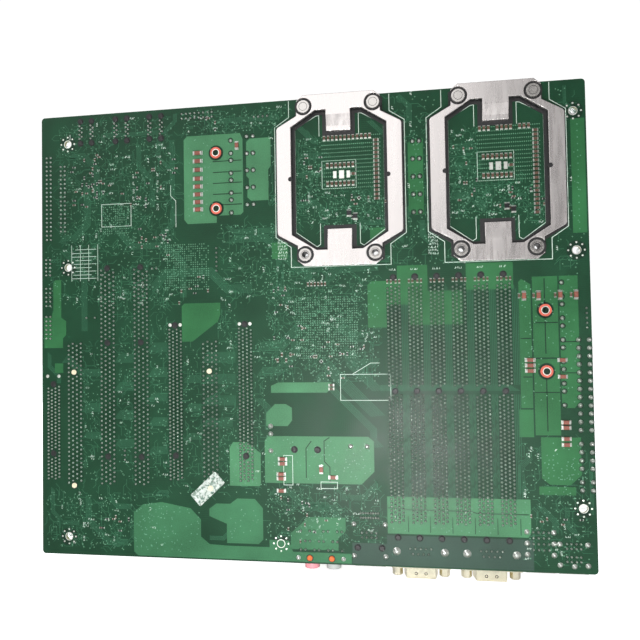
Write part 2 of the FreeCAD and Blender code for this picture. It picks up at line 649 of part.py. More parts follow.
def memory_slot(number):
    """Memory slot with a tower at each end, and a latch that turns in each tower."""
    x = at_x(s.first_memory_across + (number - 1) * s.memory_pitch)
    low, high = at_z(s.memory_low_up), at_z(s.memory_high_up)
    inset = s.tower_pivot_inset + s.tower_ridge_gap
    ridge = block(around(x, s.memory_half_width), (lift(0), lift(s.memory_height)),
                  (low + inset, high - inset))
    walls = []
    holes = []
    for end, tip in ((1, high), (-1, low)):
        pivot_z = tip - end * s.tower_pivot_inset
        span = sorted_span(tip - end * (inset + s.tower_overlap), tip)
        for hand in (1, -1):
            outer = x + hand * s.memory_half_width
            walls.append(block(sorted_span(outer - hand * s.tower_wall, outer),
                               (lift(0), lift(s.tower_height)), span))
        holes.append(rod("x", (x - s.memory_half_width - s.join, lift(s.latch_pivot_lift), pivot_z),
                         s.pin_radius + s.pin_clearance, (s.memory_half_width + s.join) * 2))
    groove = block(around(x, s.groove_half_width), (lift(s.memory_groove_floor), lift(s.tower_height)),
                   (low, high))
    key = block(around(x, s.groove_half_width), (lift(s.memory_groove_floor), lift(s.memory_height)),
                around(at_z(s.memory_key_up), s.key_half_length))
    node(f"memory_slot_{number}", [fuse([cut(fuse([ridge] + walls), [groove] + holes), key])])
    for end, tip, word in ((1, high, "upper"), (-1, low, "lower")):
        node(f"memory_latch_{number}_{word}", [memory_latch(x, tip - end * s.tower_pivot_inset, end)])


def memory_latch(x, pivot_z, end):
    """Ejector latch: an upright with a finger outside, a hook inside and a pivot pin."""
    pivot_y = lift(s.latch_pivot_lift)
    across = around(x, s.latch_half_width)

    def bar(y, inner, outer):
        return block(across, y, sorted_span(pivot_z + end * inner, pivot_z + end * outer))

    upright = bar((pivot_y - s.latch_foot, pivot_y + s.latch_top), -s.latch_back, s.latch_front)
    finger = bar((pivot_y + s.latch_top - s.latch_finger, pivot_y + s.latch_top), as_size(0),
                 s.latch_finger_reach)
    hook = bar((pivot_y + s.latch_hook_low, pivot_y + s.latch_hook_high), -s.latch_hook_reach,
               as_size(0))
    pin = rod("x", (x - s.latch_pin_half_length, pivot_y, pivot_z), s.pin_radius,
              s.latch_pin_half_length * 2)
    return fuse([upright, finger, hook, pin])


# ---------------------------------------------------------------- expansion slots

def card_slot(across, half_width, height, low_up, high_up, key_ups, extra=(), holes=()):
    """A card-edge slot: a bar with a groove that stops short of both ends, and keys across it."""
    x = at_x(across)
    bar = block(around(x, half_width), (lift(0), lift(height)), (at_z(low_up), at_z(high_up)))
    groove = block(around(x, s.groove_half_width), (lift(s.groove_floor), lift(height + s.join)),
                   (at_z(low_up + s.groove_end_wall), at_z(high_up - s.groove_end_wall)))
    keys = [block(around(x, s.groove_half_width), (lift(s.groove_floor), lift(height)),
                  around(at_z(up), s.key_half_length)) for up in key_ups]
    base = fuse([bar] + list(extra)) if extra else bar
    return fuse([cut(base, [groove] + list(holes))] + keys)


def express_slot(number, across):
    """Long card slot with a retaining clip that turns at its upper end."""
    x = at_x(across)
    end_z = at_z(s.express_high_up)
    pivot = (x, lift(s.clip_pivot_lift), end_z + s.clip_pivot_gap)
    ears = []
    for hand in (1, -1):
        outer = x + hand * s.express_half_width
        ears.append(block(sorted_span(outer - hand * s.clip_ear_wall, outer),
                          (lift(0), lift(s.clip_ear_height)), (end_z - s.join, end_z + s.clip_ear_reach)))
    hole = rod("x", (x - s.express_half_width - s.join, pivot[1], pivot[2]),
               s.pin_radius + s.pin_clearance, (s.express_half_width + s.join) * 2)
    node(f"express_slot_{number}",
         [card_slot(across, s.express_half_width, s.express_height, s.express_low_up,
                    s.express_high_up, [s.express_key_up], ears, [hole])])
    across_span = around(x, s.clip_half_width)
    upright = block(across_span, (pivot[1] - s.clip_foot, pivot[1] + s.clip_top),
                    around(pivot[2], s.clip_half_length))
    hook = block(across_span, (pivot[1] + s.clip_top - s.clip_hook_drop, pivot[1] + s.clip_top),
                 (pivot[2], pivot[2] + s.clip_half_length + s.clip_hook_reach))
    pin = rod("x", (x - s.latch_pin_half_length, pivot[1], pivot[2]), s.pin_radius,
              s.latch_pin_half_length * 2)
    node(f"express_clip_{number}", [fuse([upright, hook, pin])])


def expansion_slots():
    """Seven card slots in a row, a slot pitch apart except for the first."""
    columns = [s.last_slot_across - (5 - index) * s.slot_pitch for index in range(6)]
    node("management_slot",
         [card_slot(s.management_across, s.express_half_width, s.express_height,
                    s.management_low_up, s.management_high_up, [s.management_key_up])])
    for number, across in ((1, columns[0]), (2, columns[4])):
        node(f"bus_slot_{number}",
             [card_slot(across, s.bus_half_width, s.bus_height, s.bus_low_up, s.bus_high_up,
                        [s.bus_key_up])])
    for number, across in ((1, columns[1]), (2, columns[2])):
        node(f"wide_bus_slot_{number}",
             [card_slot(across, s.bus_half_width, s.bus_height, s.bus_low_up, s.wide_bus_high_up,
                        [s.bus_key_up, s.wide_bus_key_up])])
    for number, across in ((1, columns[3]), (2, columns[5])):
        express_slot(number, across)


# ---------------------------------------------------------------- power and ribbon connectors

def power_connector(centre_up, rows):
    """Two-column power connector with square cells and a latch ramp on its inner side."""
    x, z = at_x(s.power_across), at_z(centre_up)
    shell = block(around(x, s.power_half_width), (lift(0), lift(s.power_height)),
                  around(z, rows * s.power_pitch / 2))
    ramp_x = x - s.power_half_width
    ramp = block((ramp_x - s.power_tab_reach, ramp_x), (lift(s.power_tab_height), lift(s.power_height - 1)),
                 around(z, s.power_tab_half_width))
    cells_cut = []
    for row in range(count(rows)):
        cell_z = z + (row - (rows - 1) / 2) * s.power_pitch
        for hand in (1, -1):
            cells_cut.append(block(around(x + hand * s.power_pitch / 2, s.power_cell / 2),
                                   (lift(s.power_height - s.power_cell_depth),
                                    lift(s.power_height + s.join)),
                                   around(cell_z, s.power_cell / 2)))
    return cut(fuse([shell, ramp]), cells_cut)


def ribbon_header(across, half_width, low_up, high_up):
    """Open-topped shroud with a keying notch in one long wall."""
    x, low, high = at_x(across), at_z(low_up), at_z(high_up)
    shroud = block(around(x, half_width), (lift(0), lift(s.ribbon_height)), (low, high))
    inside = block(around(x, half_width - s.ribbon_wall),
                   (lift(s.ribbon_floor), lift(s.ribbon_height + s.join)),
                   (low + s.ribbon_wall, high - s.ribbon_wall))
    middle = (low + high) / 2
    notch = block((x + half_width - s.ribbon_wall - s.join, x + half_width + s.join),
                  (lift(s.ribbon_floor), lift(s.ribbon_height + s.join)), around(middle, s.ribbon_notch / 2))
    return cut(shroud, [inside, notch])


def disk_port(across):
    """Upright serial disk port with an L-shaped slot."""
    x = at_x(across)
    low, high = at_z(s.disk_port_low_up), at_z(s.disk_port_high_up)
    shell = block(around(x, s.disk_port_half_width), (lift(0), lift(s.disk_port_height)), (low, high))
    depth = (lift(s.disk_port_height - s.disk_port_depth), lift(s.disk_port_height + s.join))
    middle = (low + high) / 2
    slot = block(around(x, s.disk_port_slot / 2), depth, around(middle, s.disk_port_slot_length / 2))
    key_low = middle - s.disk_port_slot_length / 2
    key = block((x, x + s.disk_port_half_width - 0.5), depth, (key_low, key_low + s.disk_port_key))
    return cut(shell, [slot, key])


def header_base(across, up, columns, rows):
    """Plastic strip that holds the pins of one header."""
    return block(around(at_x(across), columns * s.header_pitch / 2), (lift(0), lift(s.header_base)),
                 around(at_z(up), rows * s.header_pitch / 2))


def cable_connectors():
    """Power, ribbon, serial disk and pin connectors."""
    node("main_power_connector", [power_connector(s.main_power_up, s.main_power_rows)])
    node("processor_power_connectors",
         [power_connector(s.processor_power_up, s.processor_power_rows),
          power_connector(s.extra_power_up, s.extra_power_rows)])
    node("ribbon_headers",
         [ribbon_header(s.disk_across, s.disk_half_width, s.disk_low_up, s.disk_high_up),
          ribbon_header(s.floppy_across, s.floppy_half_width, s.floppy_low_up, s.floppy_high_up)])
    node("serial_disk_ports",
         [disk_port(first + pair * s.disk_port_pair_pitch)
          for pair in range(3) for first in (s.disk_port_first, s.disk_port_second)])
    node("pin_headers", [header_base(*row) for row in headers.values()])


# ---------------------------------------------------------------- chips, heat sinks, regulators

def plain_chip(across, up, width, length, low, thickness):
    """A flat square-edged package."""
    return block(around(at_x(across), width / 2), (lift(low), lift(low + thickness)),
                 around(at_z(up), length / 2))


def heat_sink(across, up, side, height, fins):
    """Finned aluminium block that stands on its chip's die."""
    low = s.bridge_package + s.bridge_die
    x, z = at_x(across), at_z(up)
    base = block(around(x, side / 2), (lift(low), lift(low + s.sink_base)), around(z, side / 2))
    blades = []
    for index in range(count(fins)):
        left = x - side / 2 + (side - s.fin_thickness) * index / (fins - 1)
        blades.append(block((left, left + s.fin_thickness), (lift(low + s.join), lift(low + height)),
                            around(z, side / 2)))
    return fuse([base] + blades)


def bridges():
    """The two bridge chips and their heat sinks."""
    packages = []
    for word, chip, die in (("north", s.north_chip, s.north_die), ("south", s.south_chip, s.south_die)):
        across, up = places[f"{word}_bridge"]
        package = plain_chip(across, up, chip, chip, 0, s.bridge_package)
        packages.append(fuse([package, plain_chip(across, up, die, die, s.bridge_package, s.bridge_die)]))
    node("bridge_chips", packages)
    node("north_heat_sink",
         [heat_sink(*places["north_bridge"], s.north_sink, s.north_sink_height, s.north_fins)])
    node("south_heat_sink",
         [heat_sink(*places["south_bridge"], s.south_sink, s.south_sink_height, s.south_fins)])


def column_spots(table):
    """(across, up) of every component in columns given by start, pitch and count."""
    for across, up, pitch, number in table.values():
        for index in range(count(number)):
            yield across, up + index * pitch


def can(across, up, radius, height):
    """Upright capacitor on its square plastic base."""
    x, z = at_x(across), at_z(up)
    side = radius + s.can_base_extra
    base = block(around(x, side), (lift(0), lift(s.can_base_height)), around(z, side))
    return fuse([base, rod("y", (x, lift(0), z), radius, height)])


def regulators():
    """Chokes, power transistors and capacitors of the voltage regulators."""
    choke_pieces = []
    for across, up in column_spots(chokes):
        core = plain_chip(across, up, s.choke_side, s.choke_side, s.choke_foot, s.choke_height)
        feet = plain_chip(across, up, s.choke_side / 2, s.choke_side - 1, 0, s.choke_foot + 0.2)
        choke_pieces.append(fuse([core, feet]))
    node("power_chokes", choke_pieces)
    node("power_transistors",
         [plain_chip(across, up, s.transistor_width, s.transistor_length, 0, s.transistor_height)
          for across, up in column_spots(transistors)])
    tall = [can(across, up, s.tall_can_radius, s.tall_can_height)
            for across, up in column_spots(tall_cans)]
    node("electrolytic_capacitors",
         tall + [can(across, up, s.short_can_radius, s.short_can_height)
                 for across, up in column_spots(short_cans)])
    node("logic_chips", [plain_chip(across, up, width, length, 0, thickness)
                         for across, up, width, length, thickness in chips.values()])


def battery():
    """Round holder with two spring ears, and the coin cell in it."""
    across, up = places["battery"]
    x, z = at_x(across), at_z(up)
    ring = rod("y", (x, lift(0), z), s.holder_radius, s.holder_height)
    well = rod("y", (x, lift(s.cell_lift), z), s.cell_radius + s.holder_gap, s.holder_height)
    gap = block(around(x, s.holder_radius + s.join), (lift(s.cell_lift), lift(s.holder_height + s.join)),
                around(z, s.holder_clip_half_width))
    node("battery_holder", [cut(ring, [well, gap])])
    node("coin_cell", [rod("y", (x, lift(s.cell_lift), z), s.cell_radius, s.cell_height)])


# ---------------------------------------------------------------- rear ports

def audio_jacks():
    """Six round jacks in three storeys of two, with noses that stand past the board's edge."""
    front = at_z(s.audio_front_up)
    tip = front - s.jack_nose_length
    middle = at_x(s.audio_across)
    storeys = (("microphone", "side_speaker"), ("line_out", "rear_speaker"), ("line_in", "centre_speaker"))
    floor = lift(0)
    for level, names in enumerate(storeys):
        y = lift(s.jack_first_lift + level * s.jack_gap_lift)
        top = y + s.jack_gap_lift / 2 if level < 2 else lift(s.audio_height)
        for name, outer in zip(names, (-s.audio_half_width, s.audio_half_width)):
            x = middle + s.jack_gap_across / 2 * (1 if name == names[1] else -1)
            housing = block(sorted_span(middle, middle + outer), (floor, top),
                            (front, front + s.audio_depth))
            nose = rod("z", (x, y, tip), s.jack_nose_radius, s.jack_nose_length + s.join)
            bore = rod("z", (x, y, tip - s.join), s.jack_bore_radius, s.jack_bore_length + s.join)
            node(f"{name}_jack", [cut(fuse([housing, nose]), [bore])])
        floor = top


def port_slot(x, low_lift, width, height, depth):
    """Cavity that opens at the front of a port block."""
    front = at_z(s.port_front_up)
    return block(around(x, width / 2), (lift(low_lift), lift(low_lift + height)),
                 (front - s.join, front + depth))


def stacked_ports():
    """Network socket over two bus ports, four bus ports, and the keyboard and mouse ports."""
    front = at_z(s.port_front_up)
    x = at_x(s.network_across)
    shell = block(around(x, s.network_half_width), (lift(0), lift(s.network_height)),
                  (front, front + s.network_depth))
    slots = [port_slot(x, s.bus_port_first_lift + level * s.bus_port_pitch, s.bus_port_slot_width,
                       s.bus_port_slot_height, s.bus_port_slot_depth) for level in range(2)]
    slots.append(port_slot(x, s.network_jack_lift, s.network_jack_width, s.network_jack_height,
                           s.network_jack_depth))
    node("network_ports", [cut(shell, slots)])

    x = at_x(s.bus_port_across)
    shell = block(around(x, s.bus_port_half_width), (lift(0), lift(s.bus_port_block_height)),
                  (front, front + s.bus_port_depth))
    slots = [port_slot(x, s.bus_port_first_lift + level * s.bus_port_pitch, s.bus_port_slot_width,
                       s.bus_port_slot_height, s.bus_port_slot_depth) for level in range(4)]
    node("bus_ports", [cut(shell, slots)])

    x = at_x(s.round_port_across)
    shell = block(around(x, s.round_port_half_width), (lift(0), lift(s.round_port_block_height)),
                  (front, front + s.round_port_depth))
    holes = [rod("z", (x, lift(s.round_port_first_lift + level * s.round_port_pitch), front - s.join),
                 s.round_port_radius, s.round_port_hole_depth + 1) for level in range(2)]
    node("keyboard_mouse_ports", [cut(shell, holes)])


def shell_prism(x, y, wide, narrow, half_height, low, length):
    """D-shaped bar along Z, its wide side away from the board."""
    corners = [(-narrow, -half_height), (narrow, -half_height), (wide, half_height), (-wide, half_height)]
    return prism(FreeCAD.Rotation(), corners, (x, y, low), length)


def serial_port(name, across):
    """Nine-pin port: flange, D-shaped shell, body, two brackets and two hexagonal jackscrews."""
    x, y = at_x(across), lift(s.serial_lift)
    flange_low = at_z(s.serial_flange_front)
    flange_high = flange_low + s.serial_flange_thickness
    shell_low = at_z(s.serial_shell_front)
    flange = block(around(x, s.serial_flange_half_width),
                   (lift(0.1), lift(0.1 + s.serial_flange_height)), (flange_low, flange_high))
    shell = shell_prism(x, y, s.shell_wide, s.shell_narrow, s.shell_half_height, shell_low,
                        flange_high - shell_low)
    wall = s.shell_wall
    hollow = shell_prism(x, y, s.shell_wide - wall, s.shell_narrow - wall, s.shell_half_height - wall,
                         shell_low - s.join, flange_low - shell_low + s.join - s.shell_floor)
    body = block(around(x, s.serial_body_half_width), (lift(1), lift(1 + s.serial_flange_height - 2)),
                 (flange_low, at_z(s.serial_body_back)))
    tail = block(around(x, s.serial_body_half_width), (lift(0), lift(s.serial_tail_height)),
                 (flange_low, at_z(s.serial_tail_back)))
    pieces = [flange, shell, body, tail]
    threads = []
    for hand in (1, -1):
        screw_x = x + hand * s.serial_screw_gap / 2
        pieces.append(block(around(screw_x, s.serial_bracket_half_width),
                            (lift(0), lift(s.serial_bracket_height)),
                            (flange_low, at_z(s.serial_bracket_back))))
        pieces.append(jackscrew(screw_x, y, flange_high))
        threads.append(rod("z", (screw_x, y, at_z(s.jackscrew_front) - s.join), s.jackscrew_thread_radius,
                           s.jackscrew_thread_depth + s.join))
    node(name, [cut(fuse(pieces), [hollow] + threads)])


def jackscrew(x, y, high):
    """Hexagonal pillar that a plug's screw goes into."""
    item = doc.addObject("Part::Prism", "hexagon")
    item.Polygon = 6
    low = at_z(s.jackscrew_front)
    bind(item, Circumradius=s.jackscrew_radius * 2 / math.sqrt(3), Height=high - low,
         Placement_Base_x=x, Placement_Base_y=y, Placement_Base_z=low)
    return item


# ---------------------------------------------------------------- the assembly

def build():
    """Make every node of the motherboard."""
    circuit_board()
    for side, across in zip(("left", "right"), socket_columns):
        backplate(f"{side}_backplate", across)
    node("backplate_insulators", [insulator(across) for across in socket_columns])
    node("backplate_studs", [stud for across in socket_columns for stud in studs(across)])
    for side, across in zip(("left", "right"), socket_columns):
        socket(side, across)
    for number in range(1, count(s.memory_slots) + 1):
        memory_slot(number)
    expansion_slots()
    cable_connectors()
    bridges()
    regulators()
    battery()
    audio_jacks()
    stacked_ports()
    serial_port("serial_port_left", s.left_serial_across)
    serial_port("serial_port_right", s.right_serial_across)


def check():
    """Stop if any object failed or any node is not a sound solid."""
    for item in doc.Objects:
        if any(word in state for state in item.State for word in ("Invalid", "Error")):
            raise RuntimeError(f"{item.Label} failed: {item.State}")
    for item in nodes:
        shape = item.Shape
        if shape.isNull() or not shape.isValid() or shape.Volume <= 0:
            raise RuntimeError(f"{item.Label} has no valid solid")


def export():
    """Write one STEP file per node."""
    os.makedirs("parts", exist_ok=True)
    for item in nodes:
        item.Shape.exportStep(f"parts/{item.Label}.step")


build()
doc.recompute()
check()
export()
print(f"{len(nodes)} nodes written")
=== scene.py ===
"""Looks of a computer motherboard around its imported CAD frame.

Distances are in millimetres measured on the board: "across" from the left column of
case-screw holes, "up" from the connector edge, "height" out of the face of the board.
"""
import functools
import math
import random

import bmesh
import bpy
from mathutils import Matrix, Vector


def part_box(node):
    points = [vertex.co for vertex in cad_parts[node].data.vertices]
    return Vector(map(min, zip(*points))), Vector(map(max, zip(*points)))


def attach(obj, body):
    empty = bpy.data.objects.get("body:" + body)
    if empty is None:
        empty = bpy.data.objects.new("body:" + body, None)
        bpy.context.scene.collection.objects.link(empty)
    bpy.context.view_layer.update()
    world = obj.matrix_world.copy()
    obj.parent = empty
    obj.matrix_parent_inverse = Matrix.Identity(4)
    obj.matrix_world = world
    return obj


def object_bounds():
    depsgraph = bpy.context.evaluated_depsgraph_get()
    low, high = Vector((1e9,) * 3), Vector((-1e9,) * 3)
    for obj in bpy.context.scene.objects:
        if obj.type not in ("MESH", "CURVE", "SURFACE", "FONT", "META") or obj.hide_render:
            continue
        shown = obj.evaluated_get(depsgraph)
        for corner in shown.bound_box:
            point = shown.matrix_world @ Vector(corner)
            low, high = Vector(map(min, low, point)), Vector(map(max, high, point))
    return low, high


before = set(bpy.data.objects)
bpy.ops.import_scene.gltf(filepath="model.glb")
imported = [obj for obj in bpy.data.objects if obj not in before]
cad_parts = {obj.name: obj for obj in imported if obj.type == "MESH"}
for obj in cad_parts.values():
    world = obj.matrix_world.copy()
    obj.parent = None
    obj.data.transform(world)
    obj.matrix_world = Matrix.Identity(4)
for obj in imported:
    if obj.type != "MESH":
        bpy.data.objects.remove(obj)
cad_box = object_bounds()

MM = 0.001
SOLDER_SIDE, PARTS_SIDE = -1, 1
board_low, board_high = (Vector(corner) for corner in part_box("circuit_board"))
LEFT_MARGIN = 16.51
ORIGIN_X = board_low.x + LEFT_MARGIN * MM
ORIGIN_Z = board_low.z
FACE_Y = {SOLDER_SIDE: board_low.y, PARTS_SIDE: board_high.y}
BOARD_WIDTH, _, BOARD_HEIGHT = (board_high - board_low) / MM
dice = random.Random(7)


@functools.lru_cache(maxsize=None)
def node_box(name):
    """(low across, high across, low up, high up) of a CAD node in board millimetres."""
    low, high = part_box(name)
    return ((low[0] - ORIGIN_X) / MM, (high[0] - ORIGIN_X) / MM,
            (low[2] - ORIGIN_Z) / MM, (high[2] - ORIGIN_Z) / MM)


def node_centre(name):
    """Centre of a CAD node in board millimetres."""
    left, right, bottom, top = node_box(name)
    return (left + right) / 2, (bottom + top) / 2


# ---------------------------------------------------------------- meshes

class Piece:
    """Collects closed shapes given as (across, up, height) and makes one mesh of them."""

    def __init__(self, name, finish, slot=None, side=SOLDER_SIDE, smooth=False, body="root"):
        self.name, self.finish, self.slot = name, finish, slot
        self.side, self.smooth, self.body = side, smooth, body
        self.points, self.faces = [], []

    def add(self, points, faces):
        """Add one shape; its faces wind anticlockwise seen from outside the board."""
        first = len(self.points)
        self.points += [(ORIGIN_X + across * MM, FACE_Y[self.side] + self.side * height * MM,
                         ORIGIN_Z + up * MM) for across, up, height in points]
        if self.side == PARTS_SIDE:
            faces = [face[::-1] for face in faces]
        self.faces += [tuple(first + index for index in face) for face in faces]
        return self

    def stamp(self, shape, spots, turn=0.0):
        """Add a template shape at every spot, turned about the board's normal."""
        points, faces = shape
        cos, sin = math.cos(turn), math.sin(turn)
        for across, up in spots:
            self.add([(across + x * cos - y * sin, up + x * sin + y * cos, height)
                      for x, y, height in points], faces)
        return self

    def slab(self, outline, low, high):
        """Add a flat prism over an anticlockwise outline."""
        return self.add(*loft([[(x, y, level) for x, y in outline] for level in (low, high)]))

    def ribbon(self, line, width, low, high):
        """Add a flat strip of constant width along an open line with mitred corners."""
        sides = [offset_line(line, hand * width / 2) for hand in (1, -1)]
        count = len(line)
        points = [(x, y, level) for side in sides for level in (low, high) for x, y in side]
        faces = [(0, 2 * count, 3 * count, count),
                 (count - 1, 2 * count - 1, 4 * count - 1, 3 * count - 1)]
        for i, j in zip(range(count - 1), range(1, count)):
            faces += [(count + i, 3 * count + i, 3 * count + j, count + j),
                      (i, j, 2 * count + j, 2 * count + i), (i, count + i, count + j, j),
                      (2 * count + i, 2 * count + j, 3 * count + j, 3 * count + i)]
        return self.add(points, faces)

    def make(self):
        """Turn what was collected into an object that rides on its body."""
        mesh = bpy.data.meshes.new(self.name)
        mesh.from_pydata(self.points, [], self.faces)
        shape = bmesh.new()
        shape.from_mesh(mesh)
        bmesh.ops.recalc_face_normals(shape, faces=shape.faces)
        shape.to_mesh(mesh)
        shape.free()
        mesh.materials.append(paint[self.finish])
        if self.smooth:
            mesh.shade_smooth()
        thing = bpy.data.objects.new(self.name, mesh)
        bpy.context.scene.collection.objects.link(thing)
        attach(thing, self.body)
        return thing


def offset_line(line, distance):
    """The line moved sideways by a distance, its corners mitred."""
    steps = [Vector((x1 - x0, y1 - y0)).normalized() for (x0, y0), (x1, y1) in zip(line, line[1:])]
    moved = []
    for (x, y), first, second in zip(line, steps[:1] + steps, steps + steps[-1:]):
        normal = Vector((-(first.y + second.y), first.x + second.x)).normalized()
        stretch = max(0.4, normal.dot(Vector((-first.y, first.x))))
        moved.append((x + normal.x * distance / stretch, y + normal.y * distance / stretch))
    return moved


def circle(across, up, radius, segments=20):
    """Anticlockwise points of a circle."""
    return [(across + radius * math.cos(2 * math.pi * step / segments),
             up + radius * math.sin(2 * math.pi * step / segments)) for step in range(segments)]


def rectangle(left, right, bottom, top):
    """Anticlockwise corners of a rectangle."""
    return [(left, bottom), (right, bottom), (right, top), (left, top)]


def grown(box, margin):
    """A box of (left, right, bottom, top) made larger on every side."""
    left, right, bottom, top = box
    return left - margin, right + margin, bottom - margin, top + margin


def chamfered(left, right, bottom, top, cut):
    """Anticlockwise corners of a rectangle with its corners cut at 45 degrees."""
    return [(left + cut, bottom), (right - cut, bottom), (right, bottom + cut), (right, top - cut),
            (right - cut, top), (left + cut, top), (left, top - cut), (left, bottom + cut)]


def loft(rings, closed=False):
    """Template through rings of points, capped at both ends or closed round like a tyre."""
    count = len(rings[0])
    faces = []
    for level in range(len(rings) if closed else len(rings) - 1):
        low, high = level * count, (level + 1) % len(rings) * count
        for step in range(count):
            after = (step + 1) % count
            faces.append((low + step, low + after, high + after, high + step))
    if not closed:
        last = (len(rings) - 1) * count
        faces += [tuple(range(last, last + count)), tuple(reversed(range(count)))]
    return [point for ring in rings for point in ring], faces


def lathe(profile, segments=8, closed=False):
    """Template of a turned shape: profile is (radius, height) from the board outwards."""
    return loft([[(x, y, height) for x, y in circle(0, 0, radius, segments)]
                 for radius, height in profile], closed)


def washer(inner, outer, low, high, segments=24):
    """Template of a flat ring."""
    return lathe([(inner, low), (outer, low), (outer, high), (inner, high)], segments, closed=True)


def brick(width, length, low, high, bevel=0.0):
    """Template of a box whose outer edges may be bevelled."""
    x, y = width / 2, length / 2
    levels = [(x, y, low), (x, y, high - bevel)] + [(x - bevel, y - bevel, high)] * bool(bevel)
    return loft([[(-x, -y, height), (x, -y, height), (x, y, height), (-x, y, height)]
                 for x, y, height in levels])


# ---------------------------------------------------------------- materials

def tint(red, green, blue):
    """Linear colour of a screen colour given from 0 to 255."""
    parts = [value / 255 for value in (red, green, blue)]
    return tuple(v / 12.92 if v <= 0.04045 else ((v + 0.055) / 1.055) ** 2.4
                 for v in parts) + (1.0,)


def scaled(colour, factor):
    """A colour made lighter or darker."""
    return tuple(min(1.0, value * factor) for value in colour[:3]) + (1.0,)


class Nodes:
    """Adds and links the shader nodes of a material or a world."""

    def __init__(self, owner):
        owner.use_nodes = True
        self.owner, self.tree = owner, owner.node_tree
        self.where = self.new("TexCoord").outputs

    def put(self, socket, value):
        """Set an input to a value, or feed it from another node's output."""
        if isinstance(value, bpy.types.NodeSocket):
            self.tree.links.new(value, socket)
        else:
            socket.default_value = value

    def new(self, kind, inputs=None, **values):
        """A new node with its properties and inputs set."""
        item = self.tree.nodes.new("ShaderNode" + kind)
        for key, value in values.items():
            setattr(item, key, value)
        for key, value in (inputs or {}).items():
            self.put(item.inputs[key], value)
        return item

    def look(self, inputs):
        """Set inputs of the material's shader."""
        for key, value in inputs.items():
            self.put(self.tree.nodes["Principled BSDF"].inputs[key], value)
        return self.owner

    def noise(self, scale, detail=3.0, stretch=(1, 1, 1)):
        mapping = self.new("Mapping", {"Scale": stretch, "Vector": self.where["Object"]})
        return self.new("TexNoise", {"Scale": scale, "Detail": detail, "Roughness": 0.55,
                                     "Vector": mapping.outputs[0]}).outputs["Fac"]

    def cells(self, scale, vector):
        """A random value from 0 to 1 for each square cell."""
        pattern = self.new("TexVoronoi", {"Scale": scale, "Vector": vector}, distance="CHEBYCHEV")
        return self.new("SeparateColor", {0: pattern.outputs["Color"]}).outputs["Red"]

    def math(self, operation, *values):
        return self.new("Math", dict(enumerate(values)), operation=operation).outputs[0]

    def ramp(self, factor, low, high, dark, light):
        """Map a factor between two stops to two colours."""
        item = self.new("ValToRGB", {0: factor})
        for stop, place, colour in zip(item.color_ramp.elements, (low, high), (dark, light)):
            stop.position, stop.color = place, colour
        return item.outputs[0]

    def mix(self, factor, first, second):
        return self.new("Mix", {0: factor, 6: first, 7: second}, data_type="RGBA").outputs[2]

    def span(self, factor, low, high, start=0.3, end=0.7):
        """Map a factor, by default the 0.3 to 0.7 of a noise, to low..high."""
        return self.new("MapRange", {"From Min": start, "From Max": end, "To Min": low,
                                     "To Max": high, "Value": factor}).outputs[0]

    def bump(self, height, strength, distance, bevel=0.0):
        inputs = {"Strength": strength, "Distance": distance, "Height": height}
        if bevel:
            inputs["Normal"] = self.new("Bevel", {"Radius": bevel}, samples=6).outputs[0]
        return self.new("Bump", inputs).outputs[0]


def finish(name, colour, roughness=0.5, metallic=0.0, vary=0.12, grain=900.0, bump=0.15,
           specular=0.5, stretch=(1, 1, 1), bevel=0.0):
    """A procedural finish: mottled colour, uneven gloss and a fine relief."""
    nodes = Nodes(bpy.data.materials.new(name))
    colour = tint(*colour)
    broad, fine = nodes.noise(grain / 12, 4.0, stretch), nodes.noise(grain, 2.0, stretch)
    mottle = nodes.math("ADD", nodes.math("MULTIPLY", broad, 0.6),
                        nodes.math("MULTIPLY", fine, 0.4))
    return nodes.look({
        "Base Color": nodes.ramp(mottle, 0.3, 0.7, scaled(colour, 1 - vary),
                                 scaled(colour, 1 + vary)),
        "Roughness": nodes.span(fine, roughness * 0.8, min(1.0, roughness * 1.2)),
        "Metallic": metallic, "Specular IOR Level": specular,
        "Normal": nodes.bump(fine, bump, 0.00005, bevel)})


def metal(name, colour, roughness, **options):
    """A bare metal finish."""
    return finish(name, colour, roughness, metallic=1.0, **options)


def plastic(name, colour, roughness=0.45, vary=0.1, bevel=0.0002):
    """A moulded plastic finish."""
    return finish(name, colour, roughness, vary=vary, grain=1600, bevel=bevel)


MASK_GLOSS, MASK_SPECULAR = 0.45, 0.24
TRACE_PATCH, TRACE_PITCH = 0.011, 0.0011    # metres


def stripes(nodes, direction):
    """Bands along a direction in the plane of the board, 0 or 1 with soft edges."""
    split = nodes.new("SeparateXYZ", {0: nodes.where["Object"]}).outputs
    along = nodes.math("ADD", nodes.math("MULTIPLY", split["X"], direction[0]),
                       nodes.math("MULTIPLY", split["Z"], direction[1]))
    wave = nodes.math("PINGPONG", along, TRACE_PITCH / 2)
    return nodes.math("MULTIPLY", nodes.math("SUBTRACT", wave, TRACE_PITCH * 0.33),
                      1 / (TRACE_PITCH * 0.12))


